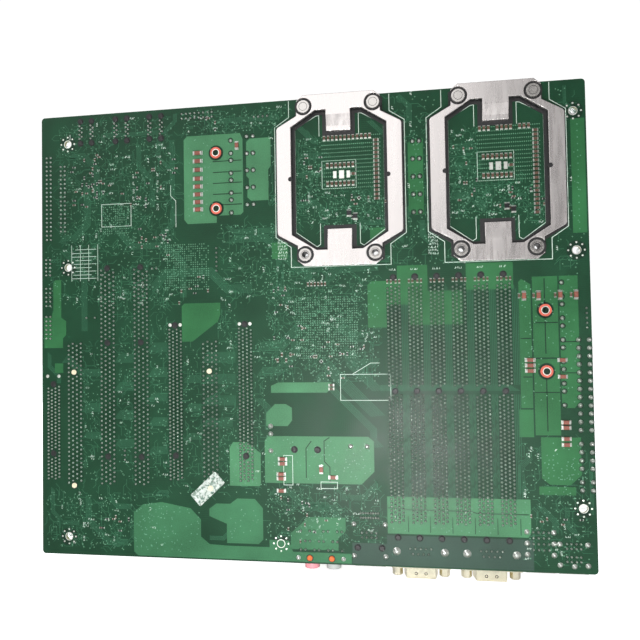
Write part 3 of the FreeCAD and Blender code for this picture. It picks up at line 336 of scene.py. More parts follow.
def solder_mask(name, colour, routing=0.05):
    """Green lacquer over copper: patches of parallel traces and soft mottling."""
    nodes = Nodes(bpy.data.materials.new(name))
    colour = tint(*colour)
    pick = nodes.cells(1 / TRACE_PATCH, nodes.where["Object"])
    lines = None
    slant = math.sqrt(0.5)
    for index, direction in enumerate(((1, 0), (0, 1), (slant, slant), (slant, -slant))):
        chosen = nodes.math("COMPARE", pick, 0.125 + index * 0.25, 0.1)
        band = nodes.math("MULTIPLY", stripes(nodes, direction), chosen)
        band.node.use_clamp = True
        lines = band if lines is None else nodes.math("ADD", lines, band)
    density = nodes.span(nodes.noise(70.0, 2.0), 0.0, 1.0)
    lines = nodes.math("MULTIPLY", nodes.math("MULTIPLY", lines, density), routing)
    mottle, speck = nodes.noise(38.0, 5.0), nodes.noise(1500.0, 2.0)
    base = nodes.ramp(mottle, 0.32, 0.7, scaled(colour, 0.74), scaled(colour, 1.22))
    base = nodes.mix(nodes.span(speck, 0.0, 0.3), base, scaled(colour, 1.7))
    relief = nodes.math("ADD", lines, nodes.math("MULTIPLY", speck, 0.5))
    return nodes.look({
        "Base Color": nodes.mix(lines, base, scaled(colour, 2.3)),
        "Roughness": nodes.span(mottle, MASK_GLOSS * 0.85, MASK_GLOSS * 1.15),
        "Specular IOR Level": MASK_SPECULAR, "Normal": nodes.bump(relief, 0.35, 0.00004)})


LABEL_TURN = math.radians(43)


def label_material():
    """White paper with soft rows of generic grey blocks."""
    nodes = Nodes(bpy.data.materials.new("paper_label"))
    mapping = nodes.new("Mapping", {"Rotation": (0, LABEL_TURN, 0),
                                    "Vector": nodes.where["Object"]})
    marks = nodes.math("GREATER_THAN", nodes.cells(900.0, mapping.outputs[0]), 0.6)
    blocks = nodes.math("MULTIPLY", marks, nodes.span(nodes.noise(240.0), 0.5, 1.0))
    paper = nodes.ramp(nodes.noise(260.0, 4.0), 0.3, 0.7, tint(170, 178, 172),
                       tint(200, 208, 202))
    return nodes.look({"Base Color": nodes.mix(blocks, paper, tint(70, 104, 86)),
                       "Roughness": 0.55,
                       "Normal": nodes.bump(nodes.noise(900.0), 0.2, 0.00004)})


paint = {
    "board": solder_mask("solder_mask", (14, 54, 33), 0.35),
    "pour": solder_mask("copper_under_mask", (38, 92, 54), 0.06),
    "pour_teal": solder_mask("wide_copper_under_mask", (50, 100, 68)),
    "pour_bright": solder_mask("bright_copper_under_mask", (62, 112, 78)),
    "pour_dark": solder_mask("dark_copper_under_mask", (44, 66, 56)),
    "gap": solder_mask("bare_laminate_under_mask", (10, 40, 25), 0.0),
    "trace": finish("trace_under_mask", (46, 96, 70), 0.46, specular=MASK_SPECULAR, vary=0.25),
    "via": finish("tented_via", (84, 132, 104), 0.35, vary=0.4, grain=2500),
    "via_hole": finish("via_hole", (14, 34, 26), 0.6, vary=0.3),
    "silk": finish("silkscreen_ink", (196, 214, 202), 0.6, grain=2500),
    "label": label_material(),
    "solder": metal("solder", (206, 210, 204), 0.3, vary=0.18, grain=1400, bump=0.4),
    "tin": metal("tinned_pad", (238, 240, 232), 0.32, vary=0.06, grain=1200),
    "gold": metal("gold_contact", (214, 170, 92), 0.3, vary=0.1),
    "steel": metal("backplate_steel", (232, 226, 224), 0.27, vary=0.06, grain=420, bump=0.14,
                   stretch=(1, 1, 0.12), bevel=0.00045),
    # Dark metal used only as painted shade: inside the stud bores, at the stud rims and in the
    # shell dimples.
    "shade_metal": metal("painted_shade_metal", (58, 56, 56), 0.4, vary=0.2, grain=2500),
    "nickel": metal("nickel_plate", (212, 208, 204), 0.24, vary=0.06, bevel=0.0002),
    "shell": metal("drawn_shell", (236, 230, 208), 0.22, vary=0.06, grain=500, bevel=0.0005),
    "port": metal("folded_steel", (206, 206, 202), 0.3, vary=0.07, grain=500, bevel=0.0003),
    "frame": metal("stamped_steel", (214, 212, 208), 0.28, vary=0.06, grain=500, bevel=0.0002),
    "aluminium": metal("extruded_aluminium", (188, 192, 196), 0.38, vary=0.08, grain=700,
                       stretch=(1, 1, 0.1), bevel=0.00015),
    "can": metal("drawn_can", (206, 206, 208), 0.25, vary=0.05, grain=700),
    "cell": metal("polished_cell", (222, 222, 220), 0.16, vary=0.05, grain=600),
    "ceramic": finish("ceramic_capacitor", (84, 62, 48), vary=0.2, grain=1500),
    "red_ceramic": finish("tantalum_capacitor", (122, 70, 56), vary=0.25, grain=1500),
    "resistor": finish("resistor_glaze", (24, 24, 26), 0.3, vary=0.2, grain=1500),
    "film": finish("black_film", (26, 26, 27), vary=0.2),
    "orange": finish("orange_plastic", (198, 96, 34), vary=0.1),
    "washer": finish("red_fibre", (198, 92, 74), 0.6, vary=0.25, grain=1800),
    "epoxy": finish("moulded_epoxy", (32, 32, 34), 0.55, vary=0.15, grain=2200, bevel=0.0002),
    "ferrite": finish("ferrite", (60, 60, 62), 0.55, vary=0.15, grain=1500, bevel=0.0003),
    "package": plastic("green_package", (30, 92, 62), 0.4, bevel=0.0),
    "black": plastic("black_plastic", (26, 26, 28), vary=0.2),
    "ivory": plastic("ivory_plastic", (224, 214, 184), 0.5, 0.06),
    "blue": plastic("blue_plastic", (34, 66, 140)),
    "green": plastic("green_plastic", (34, 122, 84)),
    "white": plastic("white_plastic", (230, 228, 218), 0.5, 0.05),
    "red": plastic("red_plastic", (170, 40, 30)),
    "socket": plastic("socket_plastic", (188, 178, 150), 0.5, 0.06),
    "jack_black": plastic("jack_black_plastic", (30, 30, 32), 0.4, bevel=0.0003),
}
COLOURED_JACKS = {
    "jack_pink": ("pink_plastic", (222, 150, 158)), "jack_grey": ("grey_plastic", (176, 180, 178)),
    "jack_lime": ("lime_plastic", (140, 190, 90)),
    "jack_sky": ("light_blue_plastic", (110, 160, 205)),
    "jack_orange": ("jack_orange_plastic", (226, 140, 70)),
}
for key, (name, colour) in COLOURED_JACKS.items():
    paint[key] = plastic(name, colour, 0.4, 0.05, 0.0003)

# ---------------------------------------------------------------- layout measured on the board

CASE_HOLES = [(0, 10.16), (124.46, 10.16), (281.94, 33.02), (0, 165.1), (281.94, 165.1),
              (0, 237.49), (281.94, 237.49)]
COOLER_HOLES = [(89.95, 227.05), (89.95, 195.45), (265.65, 134.45), (265.65, 102.85)]
BACKPLATES = [node_centre(f"{side}_backplate") for side in ("left", "right")]
STUD_HOLES = [(middle + across, centre + up) for middle, centre in BACKPLATES
              for across in (-19.05, 19.05) for up in (-40.64, 40.64)]
MEMORY_SLOTS = [f"memory_slot_{number}" for number in range(1, 7)]
MEMORY_MIDDLES = [node_centre(name)[0] for name in MEMORY_SLOTS]
MEMORY_PAD_COLUMNS = (187.9, 199.4, 210.9, 222.4, 233.8, 245.3)
EXPRESS_SLOTS = ["express_slot_1", "express_slot_2"]
BUS_SLOTS = ["bus_slot_1", "bus_slot_2", "wide_bus_slot_1", "wide_bus_slot_2"]
SERIAL_PORTS = [node_centre(f"serial_port_{side}")[0] for side in ("left", "right")]
DISK_PORTS = (8.1, 15.0, 29.8, 36.8, 50.5, 57.5)
CAN_PITCH, CHOKE_PITCH, POWER_PITCH, SERIAL_PITCH, PIN_PITCH = 9.6, 11.2, 4.2, 2.74, 2.54
CANS = [(across, lowest + CAN_PITCH * k)
        for across, lowest in ((109.6, 197.0), (201.3, 188.5), (275.0, 183.0)) for k in range(5)]
EDGE_MARGIN = 0.9            # between a trace and the board's edge
TRACE = (0.24, 0, 0.02)      # width, bottom and top of a trace
INK_TOP = 0.045
BREAK_LEVELS = (0.03, 0.04)  # bottom and top of the breaks, which lie on the copper areas


def pairs(numbers):
    """Points of a flat run of numbers: across, up, across, up and so on."""
    return list(zip(numbers[::2], numbers[1::2]))


def column(across, bottom, top, pitch=PIN_PITCH):
    """Spots up a column, from the bottom."""
    return [(across, bottom + pitch * step) for step in range(int((top - bottom) / pitch + 1.01))]


def grid(left, right, bottom, top, across_pitch=PIN_PITCH, up_pitch=PIN_PITCH):
    """Spots on a rectangular grid."""
    return [(left + across_pitch * i, bottom + up_pitch * j)
            for i in range(int((right - left) / across_pitch + 1.01))
            for j in range(int((top - bottom) / up_pitch + 1.01))]


def staggered(columns, bottom, top, pitch):
    """Pin columns in which every second one is half a pitch higher."""
    return [spot for index, across in enumerate(columns)
            for spot in column(across, bottom + (index % 2) * pitch / 2, top, pitch)]


def at_socket(index, spots):
    """Spots given for the left processor, moved to the left (0) or right (1) one."""
    shift = index * (BACKPLATES[1][0] - BACKPLATES[0][0])
    return [(across + shift, up) for across, up in spots]


def near(spot, others, distance):
    """True if a spot is closer than a distance to any of the others."""
    return any(math.hypot(spot[0] - other[0], spot[1] - other[1]) < distance for other in others)


def near_hole(spot):
    """True if a spot would fall into a hole of the board."""
    return near(spot, CASE_HOLES + COOLER_HOLES + STUD_HOLES, 3.4)


def random_spot(field, pitch=None):
    """A random spot of a field (left, right, bottom, top), on a grid if a pitch is given."""
    spot = dice.uniform(*field[:2]), dice.uniform(*field[2:4])
    return tuple(round(value / pitch) * pitch for value in spot) if pitch else spot


# Copper areas that show as lighter green: outlines as across, up, across, up and so on.
POURS = {
    "pour_bright": [
        (71, 190, 73, 187.5, 90, 187.5, 90, 191.5, 104, 191.5, 105.5, 193, 105.5, 234, 104, 237.5,
         73, 237.5, 71, 235.5),
        (108, 201, 110, 199, 120, 199, 120, 216, 121.5, 218, 121.5, 234, 109.5, 234, 107.5, 232,
         107.5, 213, 109, 211.5, 109, 206, 108, 205),
        (116, 43, 169, 43, 176, 50, 176, 66, 173, 68.5, 118, 68.5, 116, 66),
        (117, 74, 129, 74, 131.5, 77, 131.5, 84, 128, 86, 122, 86, 117, 81),
        (96, 41, 113, 41, 113.6, 43, 113.6, 59, 106, 65, 98, 65, 96, 62),
        (120, 92.2, 151, 92.2, 153.5, 94.5, 153.5, 97.8, 124, 97.8, 120, 96),
        (182.5, 17.5, 254.5, 17.5, 256, 20, 256, 37, 182.5, 37),
    ],
    "pour_teal": [
        (39.5, 3, 42, 0.8, 163, 0.8, 163, 6, 131, 6, 128.8, 12, 118, 12, 118, 8, 110, 8, 95, 8, 84,
         8.5, 79, 12.5, 79, 22, 73, 28, 56, 31, 45, 29.5, 39.5, 25),
        (94, 9.5, 112, 9.5, 114.5, 12, 114.5, 29, 110, 34, 100, 34, 96, 31, 88, 31, 84, 28, 84, 24,
         94, 20),
        (130, 7.5, 156, 7.5, 156, 14, 160, 18, 160, 25, 140, 25, 130, 16),
    ],
    "pour": [
        (-15.2, 118.5, -3.5, 118.5, -3.5, 124, -1.5, 126, -1.5, 134, -4.5, 136, -4.5, 158, -8.5,
         158, -9.5, 156, -9.5, 140, -11, 136, -15.2, 136),
        (69, 121, 75, 121, 80.5, 125, 90, 132, 91.5, 136, 91.5, 142.5, 70.5, 142.5, 69, 141),
        (280.5, 174, 287.4, 174, 287.4, 233.5, 280.5, 233.5),
        (252.6, 84, 258.6, 84, 258.6, 148, 254, 151, 252.6, 149.5),
        (259.4, 110, 272, 110, 272, 152, 259.4, 152),
        (259.4, 70, 272, 70, 272, 109.2, 259.4, 109.2),
        (272.8, 84, 279, 84, 282, 88, 282, 152, 272.8, 152),
        (251.5, 69, 258.6, 69, 258.6, 83.2, 251.5, 83.2),
        (262, 48, 266, 44.8, 276, 44.8, 281.5, 50, 281.5, 69, 262, 69),
        (260.5, 39.6, 278.5, 39.6, 278.5, 43.8, 260.5, 43.8),
        (174, 127, 184, 127, 184, 139, 196, 139, 196, 128, 224, 128, 224, 146, 206, 146, 206, 160,
         190, 160, 190, 152, 176, 152, 174, 150),
        (226, 146, 250, 146, 250, 160, 226, 160),
        (199, 187, 205, 187, 205, 228, 199, 228, 197, 226, 197, 189),
        (121.5, 166, 130.5, 166, 130.5, 175, 121.5, 175),
        (-8.6, 104, -3.4, 104, -3.4, 109.5, -8.6, 109.5),
        (176, 172, 184, 172, 184, 181, 176, 181),
    ],
    "pour_dark": [
        (163.5, 0.8, 257, 0.8, 257, 16.5, 182, 16.5, 182, 12, 163.5, 12),
    ],
}


def add_pours():
    """Copper areas under the mask, with the narrow breaks between neighbouring ones."""
    for kind, outlines in POURS.items():
        piece = Piece(f"copper_areas_{kind}", kind, "solder_mask")
        for outline in outlines:
            piece.slab(pairs(outline), 0, BREAK_LEVELS[0])
        piece.make()
    level_breaks = [(88, 104.8, up) for up in (197.5, 203.6, 209.8, 216, 222.2)]
    level_breaks += [(254, 258.4, 100), (259.6, 271.8, 128), (273, 281.5, 118), (259.6, 271.8, 92),
                     (253, 258.4, 120), (273, 281.5, 102)]
    breaks = {
        0.5: [[(left, up), (right, up)] for left, right, up in level_breaks]
        + [[(265.5, 112), (265.5, 151)], [(265.5, 72), (265.5, 99)],
           [(183, 31), (190, 31), (194, 30.2), (226, 30.2), (229, 29.2), (255, 29.2)]],
        0.45: [[(139, 46), (139, 62), (142, 66)],
               [(152, 43.5), (152, 52), (149, 55), (149, 66), (152, 68)]],
        0.35: [[(across + 5.6, 18.5), (across + 5.6, 27)] for across in MEMORY_PAD_COLUMNS],
    }
    gaps = Piece("copper_breaks", "gap", "solder_mask")
    for width, lines in breaks.items():
        for line in lines:
            gaps.ribbon(line, width, *BREAK_LEVELS)
    for spot in COOLER_HOLES:
        gaps.slab(circle(*spot, 4.3), *BREAK_LEVELS)
    gaps.make()


# ---------------------------------------------------------------- traces

def on_board(line):
    """True if a trace stays clear of the board's edges."""
    return all(EDGE_MARGIN < across + LEFT_MARGIN < BOARD_WIDTH - EDGE_MARGIN
               and EDGE_MARGIN < up < BOARD_HEIGHT - EDGE_MARGIN for across, up in line)


def bundle(piece, line, count):
    """Parallel traces along a line, with staggered starts."""
    spacing, stagger = 0.62, 0.5
    for index in range(count):
        moved = offset_line(line, (index - (count - 1) / 2) * spacing)
        (x0, y0), (x1, y1) = moved[:2]
        length = math.hypot(x1 - x0, y1 - y0)
        cut = min(length * 0.7, stagger * index)
        moved[0] = (x0 + (x1 - x0) * cut / length, y0 + (y1 - y0) * cut / length)
        if on_board(moved):
            piece.ribbon(moved, *TRACE)


def serpentine(piece, across, bottom, top):
    """A vertical trace that weaves to even out its length."""
    swing, straight, gap = 0.62, 1.5, 1.2
    line = [(across, bottom)]
    up, side = bottom + 2, 1
    while up < top - 3:
        far = across + side * swing
        line += [(across, up), (far, up + swing), (far, up + swing + straight),
                 (across, up + 2 * swing + straight)]
        up += 2 * swing + straight + gap
        side = -side
    line.append((across, top))
    piece.ribbon(line, 0.26, *TRACE[1:])


# Long bundles: number of traces, then the corner points as across, up, across, up and so on.
BUNDLES = [
    (7, 97, 178, 118, 178, 136, 160, 150, 160), (5, 56, 180, 64, 188, 64, 236),
    (4, 22, 236, 22, 241, 60, 241, 66, 247, 66, 251), (5, 90, 245, 126, 245),
    (6, 30, 186, 40, 176, 60, 176, 70, 166, 70, 146), (5, 96, 186, 100, 182, 128, 182),
    (8, 50, 150, 60, 160, 86, 160, 96, 150, 110, 150), (9, 112, 118, 126, 118, 136, 128),
    (8, 112, 104, 124, 104, 134, 114, 134, 120), (9, 176, 122, 166, 122, 158, 130),
    (8, 180, 108, 168, 108, 160, 116), (8, 180, 92, 164, 108, 164, 112), (10, 180, 78, 150, 108),
    (6, 180, 62, 176, 66, 176, 72, 146, 102), (7, 134, 140, 126, 148, 126, 166),
    (8, 150, 152, 158, 160, 180, 160), (6, 142, 150, 142, 158, 148, 164, 186, 164),
    (10, 80, 112, 100, 112), (9, 80, 100, 100, 100), (9, 80, 88, 100, 88), (8, 80, 76, 98, 76),
    (9, 48, 118, 60, 118), (9, 48, 104, 60, 104), (8, 48, 90, 60, 90), (8, 48, 76, 60, 76),
    (7, 48, 60, 60, 60), (8, 28, 112, 40, 112), (8, 28, 96, 40, 96), (8, 28, 80, 40, 80),
    (7, 28, 64, 40, 64), (7, -4, 112, 0, 112, 8, 104, 20, 104), (8, 8, 84, 20, 84),
    (7, 8, 68, 20, 68), (4, -12, 116, -12, 108, -6, 102, -6, 98), (7, 70, 100, 80, 100),
    (7, 70, 84, 80, 84), (6, 70, 68, 80, 68), (6, 112, 90, 118, 84, 118, 72),
    (4, 100, 20, 92, 12, 84, 12), (6, 12, 34, 12, 20, 24, 8, 36, 8),
    (4, -10, 38, -10, 24, -4, 18, 6, 18), (5, 24, 34, 30, 28, 38, 28), (6, 52, 36, 60, 36),
    (6, 118, 38, 130, 38, 138, 30, 156, 30), (4, 128, 26, 134, 32, 150, 32, 158, 24),
    (5, 178, 44, 170, 36, 158, 36), (5, 258, 60, 252, 54, 252, 40), (5, 260, 34, 268, 26, 268, 20),
    (4, 274, 34, 274, 24, 280, 18), (3, 286, 58, 286, 30), (6, -4, 176, 10, 162, 10, 128),
    (4, 20, 180, 14, 174, 14, 168), (6, 0, 230, 10, 230, 18, 222, 18, 204),
    (5, 44, 236, 44, 222, 52, 214, 52, 198), (7, -6, 182, 4, 182, 12, 190, 12, 214),
    (4, 56, 240, 56, 226, 62, 220), (5, 198, 236, 198, 246, 192, 252),
    (6, 192, 172, 192, 184, 198, 190), (5, 210, 170, 204, 176, 204, 184),
    (3, 284, 236, 278, 242, 278, 251), (5, 136, 240, 146, 230, 148, 230), (6, 136, 222, 150, 222),
    (6, 136, 212, 152, 212), (6, 136, 196, 146, 196, 154, 188), (5, 170, 184, 182, 184),
    (4, 176, 240, 184, 232), (6, 219, 222, 233, 222), (6, 219, 212, 235, 212),
    (6, 219, 196, 229, 196, 237, 188),
]

# Busy areas: (left, right, bottom, top, number of vias).
SCATTER = [
    (-6, 66, 176, 250, 620), (-14, 70, 142, 176, 260), (92, 130, 142, 186, 180),
    (70, 130, 238, 252, 130), (118, 180, 98, 162, 620), (116, 180, 12, 42, 260),
    (-14, 60, 4, 36, 280), (60, 116, 36, 44, 30), (8, 20, 42, 120, 90), (30, 40, 42, 160, 110),
    (50, 61, 42, 160, 110), (70, 81, 46, 118, 70), (90, 101, 46, 140, 110),
    (110, 118, 46, 120, 60), (252, 286, 4, 66, 200), (188, 214, 168, 252, 160),
    (136, 150, 184, 232, 150), (219, 233, 184, 232, 150), (150, 184, 180, 202, 170),
    (233, 267, 180, 202, 170), (270, 286, 152, 250, 60), (120, 134, 196, 250, 50),
    (184, 250, 160, 166, 40),
]


def add_traces():
    """Trace bundles, the memory bus with its weaving traces, and short random runs."""
    traces = Piece("traces", "trace", "solder_mask")
    for count, *corners in BUNDLES:
        bundle(traces, pairs(corners), count)
    for middle in MEMORY_MIDDLES:
        for step in range(4):
            across = middle + 4.35 + step * 0.9
            traces.ribbon([(across, 96), (across, 150 - step * 2)], *TRACE)
            if middle != MEMORY_MIDDLES[-1] and step % 2 == 0:
                serpentine(traces, across + 0.3, 24 + step, 91)
            else:
                traces.ribbon([(across, 24), (across, 91)], *TRACE)
    for row in range(6):
        up = 93.2 + row * 0.55
        traces.ribbon([(180, up), (252 - row, up)], *TRACE)
    for field in SCATTER:
        for _ in range(int(field[4] * 0.8)):
            add_short_run(traces, random_spot(field))
    traces.make()


def add_short_run(traces, start):
    """A short bent trace in a random direction."""
    length, reach = dice.uniform(1.5, 5), dice.uniform(1, 3.5)
    turn = dice.choice(((1, 0), (0, 1), (-1, 0), (0, -1)))
    slant = dice.choice((1, -1))
    middle = (start[0] + turn[0] * length, start[1] + turn[1] * length)
    side = (turn[0] + slant * turn[1], turn[1] + slant * turn[0])
    line = [start, middle, (middle[0] + side[0] * reach * 0.7, middle[1] + side[1] * reach * 0.7)]
    if on_board(line):
        traces.ribbon(line, *TRACE)


# ---------------------------------------------------------------- vias

def add_vias():
    """Tented vias: scattered, in rows by the slots, and the dense fields under the big chips."""
    spots = [random_spot(field, PIN_PITCH / 4) for field in SCATTER for _ in range(field[4])]
    for across, up, half in ((152, 128, 17), (72.5, 163.5, 13), (30, 192, 8)):
        under_chip = grid(across - half, across + half, up - half, up + half, 1.27, 1.27)
        spots += [spot for spot in under_chip if dice.random() < 0.72]
    for index in (0, 1):
        spots += at_socket(index, grid(150.5, 182.5, 203.5, 233, 1.09, 1.09)[::2])
    for field in ((73, 88, 190, 236), (253.5, 281, 86, 150), (117, 174, 45, 67), (42, 78, 3, 28),
                  (184, 254, 19, 35), (97, 112, 43, 62), (264, 280, 48, 66), (96, 112, 12, 32)):
        left, right, bottom, top = field
        spots += [random_spot(field) for _ in range(int((right - left) * (top - bottom) / 16))]
    spots += column(283.8, 176, 233, 3.4) + column(9.0, 180, 196, 2.0)
    spots = [spot for spot in dict.fromkeys(spots) if not near_hole(spot)]
    Piece("vias", "via", "solder_mask").stamp(
        lathe([(0.36, 0), (0.34, 0.05), (0.2, 0.06)], 6), spots).make()
    Piece("via_holes", "via_hole", "solder_mask").stamp(
        lathe([(0.14, 0.06), (0.12, 0.065)], 5), spots[::2]).make()
    Piece("case_hole_via_rings", "tin", "solder_mask").stamp(
        lathe([(0.5, 0), (0.48, 0.06), (0.3, 0.1)], 10),
        [spot for hole in CASE_HOLES for spot in circle(*hole, 4.05, 8)]).make()
    Piece("case_hole_lands", "gap", "solder_mask").stamp(
        washer(2.0, 5.0, 0, 0.015, 32), CASE_HOLES).make()
    Piece("case_hole_rims", "tin", "solder_mask").stamp(
        washer(1.96, 2.35, 0, 0.04, 28), CASE_HOLES).make()


# ---------------------------------------------------------------- solder joints

def joint(pad, dome, height, segments=8):
    """Template of a soldered pin: a fillet that rises to a cut pin tip."""
    return lathe([(pad, 0.02), (pad * 0.96, 0.08), (dome, height * 0.45),
                  (dome * 0.62, height * 0.8), (dome * 0.5, height), (dome * 0.3, height * 1.08)],
                 segments)


PEGS = {
    "black": [(-9.5, 97.5), (-9.5, 57.5), (64.8, 130.3), (64.8, 57.1), (105.4, 130.2),
              (105.4, 57.4), (132.6, 61.3), (145.4, 61.3), (166.4, 9.6), (179.3, 9.6)]
    + [(across, up) for across in (24.1, 44.4) for up in (164, 121, 56.1)]
    + [(middle, up) for middle in MEMORY_MIDDLES for up in (153.8, 92.9, 15.6)]
    + [(across, up) for across in DISK_PORTS for up in (250.4, 237.5)],
    "ivory": [(3.4, 104.3), (3.4, 39.3), (84.8, 104.3), (84.8, 39.3)],
    "orange": [(140.3, 3), (152.3, 3)],
}
# Pins in the two ribbon shrouds: (left, right, bottom, top).
RIBBON_PINS = [(-13.4, -10.8, 181.8, 230.4), (-4.5, -1.9, 186.4, 226.8)]


def card_pins(name, offsets, pitch, bottom_gap, top_gap):
    """Pin columns of a card slot, from its CAD box."""
    left, right, bottom, top = node_box(name)
    return staggered([(left + right) / 2 + offset for offset in offsets], bottom + bottom_gap,
                     top - top_gap, pitch)


def small_pins():
    """Thin pins of every through-hole connector."""
    express = (-3.2, -1.1, 1.2, 3.5)
    spots = card_pins("management_slot", express, 2.0, 2.5, 3.0)
    for name in EXPRESS_SLOTS:
        spots += card_pins(name, express, 2.0, 2.4, 8.6)
    for name in BUS_SLOTS:
        spots += card_pins(name, (-3.7, -1.2, 1.3, 3.8), PIN_PITCH, 2.4, 2.4)
    for middle in MEMORY_MIDDLES:
        columns = [middle - 3.1, middle - 1.1, middle + 1.0, middle + 3.1]
        spots += staggered(columns, 23.6, 90.6, 2.0) + staggered(columns, 95.8, 148.8, 2.0)
    for field in RIBBON_PINS + [
            (-13.9, -11.3, 161, 170, PIN_PITCH, 2.25), (-13.9, -11.3, 143, 154),
            (-13.9, -11.3, 124, 137), (70, 88, 247.9, 250.6, PIN_PITCH, 2.7),
            (168.2, 177.6, 25.4, 28, 1.34), (168.8, 177, 15, 17.6, 2.5, 2.5),
            (257, 264.6, 11.4, 20.5, PIN_PITCH, 3.0)]:
        spots += grid(*field)
    spots += column(89.6, 160.5, 173.3) + column(34.3, 54.4, 59.5) + column(286.0, 125, 135.2)
    spots += [(11.2, 135.6), (16.4, 135.6), (51.4, 163), (54.1, 163), (112.2, 246), (114.7, 246),
              (117.3, 246), (119.8, 246)]
    spots += [(across + (0.7 if k % 2 else -0.7), 240.2 + 1.27 * k)
              for across in DISK_PORTS for k in range(7)]
    spots += [(135.4 + 2.5 * k, up) for up in (7.4, 12.1, 17.5) for k in range(10)
              if (k + int(up)) % 3]
    spots += [(276.7 + x, up) for up in (15, 12.6, 8.4, 6) for x in (-3.4, -1.2, 1.2, 3.4)]
    for middle in SERIAL_PORTS:
        spots += [(middle - 5.5 + SERIAL_PITCH * k, 9.9) for k in range(5)]
        spots += [(middle - 4.1 + SERIAL_PITCH * k, 7.1) for k in range(4)]
    pegs = [spot for peg_spots in PEGS.values() for spot in peg_spots]
    return [spot for spot in spots if not near(spot, pegs, 2.3)]


def power_pins():
    """Thick pins of the three power connectors."""
    return [(across, middle + (k - (rows - 1) / 2) * POWER_PITCH)
            for middle, rows in ((95.8, 12), (59.4, 4), (44.2, 2)) for k in range(rows)
            for across in (281.7, 286.9)]


def component_pins():
    """Two pins of every capacitor and choke."""
    spots = [(across + side, up) for across, up in CANS for side in (-1.8, 1.8)]
    for across, lowest, count in ((98.6, 196.4, 4), (274.1, 89.0, 6)):
        spots += [(across, lowest + CHOKE_PITCH * k + side)
                  for k in range(count) for side in (-3.6, 3.6)]
    return spots


def in_memory_field(spot):
    """True for a pin of the memory slots."""
    return 182 < spot[0] < 252 and 22 < spot[1] < 152


def add_joints():
    """Solder joints of connectors, big pins and shield tabs."""
    small, medium, parts = small_pins(), power_pins(), component_pins()
    Piece("pin_clearances", "gap", "solder_mask").stamp(
        lathe([(0.84, 0.03), (0.84, 0.045)], 8), small).stamp(
        lathe([(1.5, 0.03), (1.5, 0.045)], 12), medium + parts).make()
    for word, wanted in (("memory", True), ("connector", False)):
        Piece(f"solder_joints_{word}", "solder", smooth=True).stamp(
            joint(0.62, 0.47, 0.7),
            [spot for spot in small if in_memory_field(spot) == wanted]).make()
    Piece("solder_joints_medium", "solder", smooth=True).stamp(
        joint(1.2, 0.85, 1.1, 12), medium).stamp(joint(1.0, 0.7, 0.8, 10), parts).make()
    tabs = [(across, up) for across in (164.4, 181.2) for up in (21.8, 5.1)]
    tabs += [(across, up) for across in (253.9, 267.1) for up in (20.4, 14.6, 8.9)]
    tabs += [(across, up) for across in (269.9, 283.5) for up in (14.6, 4.1)] + [(276.9, 3.6)]
    tabs += [(119.4, 73.9), (119.4, 69.6), (119.4, 60.4), (163.4, 63.2), (172.3, 63.2)]
    Piece("solder_joints_large", "solder", smooth=True).stamp(
        joint(2.15, 1.7, 1.2, 20),
        [(middle + side, 8.3) for middle in SERIAL_PORTS for side in (-12.5, 12.5)]).stamp(
        joint(1.45, 1.1, 1.0, 16), tabs).make()
    pads = Piece("socket_tinned_pads", "tin")
    for across, width, length in ((157.3, 1.9, 3.9), (161, 2.8, 4.5), (164.7, 1.9, 3.9)):
        for index in (0, 1):
            pads.stamp(brick(width, length, 0.02, 0.16, 0.08), at_socket(index, [(across, 211)]))
    pads.stamp(lathe([(1.0, 0.02), (0.95, 0.12), (0.4, 0.2)], 14),
               pairs((-13.2, 102.1, -6.1, 102.1, 61.9, 130.5, 67.9, 130.5, 102.4, 130.4,
                      108.4, 130.4)))
    pads.make()


# ---------------------------------------------------------------- small parts on the solder side

class Chips:
    """Small surface-mount parts: bodies of several kinds and their soldered ends."""

    def __init__(self, side, word):
        self.bodies = {kind: Piece(f"{word}_{kind}_parts", kind, None, side)
                       for kind in ("ceramic", "red_ceramic", "resistor")}
        self.ends = Piece(f"{word}_part_ends", "solder", None, side)

    def add(self, kind, spots, length, width, upright=False):
        """Two-ended part with its length across the board, or up it."""
        turn = math.pi / 2 if upright else 0.0
        height, end = width * 0.55, length * 0.18
        middle = brick(length * 0.72, width, 0.05, height, width * 0.06)
        self.bodies[kind].stamp(middle, spots, turn)
        cap = brick(end, width * 1.06, 0.03, height * 1.05, width * 0.12)
        fillet = brick(length * 0.16, width * 1.1, 0.02, width * 0.16, 0.04)
        for hand in (1, -1):
            for shape, shift in ((cap, hand * (length - end) / 2), (fillet, hand * length * 0.53)):
                self.ends.stamp(shape, [(x + shift * math.cos(turn), y + shift * math.sin(turn))
                                        for x, y in spots], turn)

    def make(self):
        for piece in list(self.bodies.values()) + [self.ends]:
            if piece.points:
                piece.make()


# Fields of scattered small parts: (left, right, bottom, top, number).
SMALL_PART_FIELDS = [
    (2, 20, 200, 234, 22), (8, 34, 206, 216, 12), (36, 66, 196, 226, 16), (44, 62, 168, 186, 12),
    (138, 150, 190, 224, 10), (221, 233, 190, 224, 10), (120, 142, 106, 150, 18),
    (142, 160, 100, 118, 12), (150, 178, 112, 120, 6), (124, 150, 12, 36, 12), (20, 40, 12, 30, 8),
    (256, 284, 22, 30, 6), (66, 92, 140, 158, 8), (84, 96, 240, 250, 4), (160, 184, 184, 200, 8),
    (243, 267, 184, 200, 8),
]


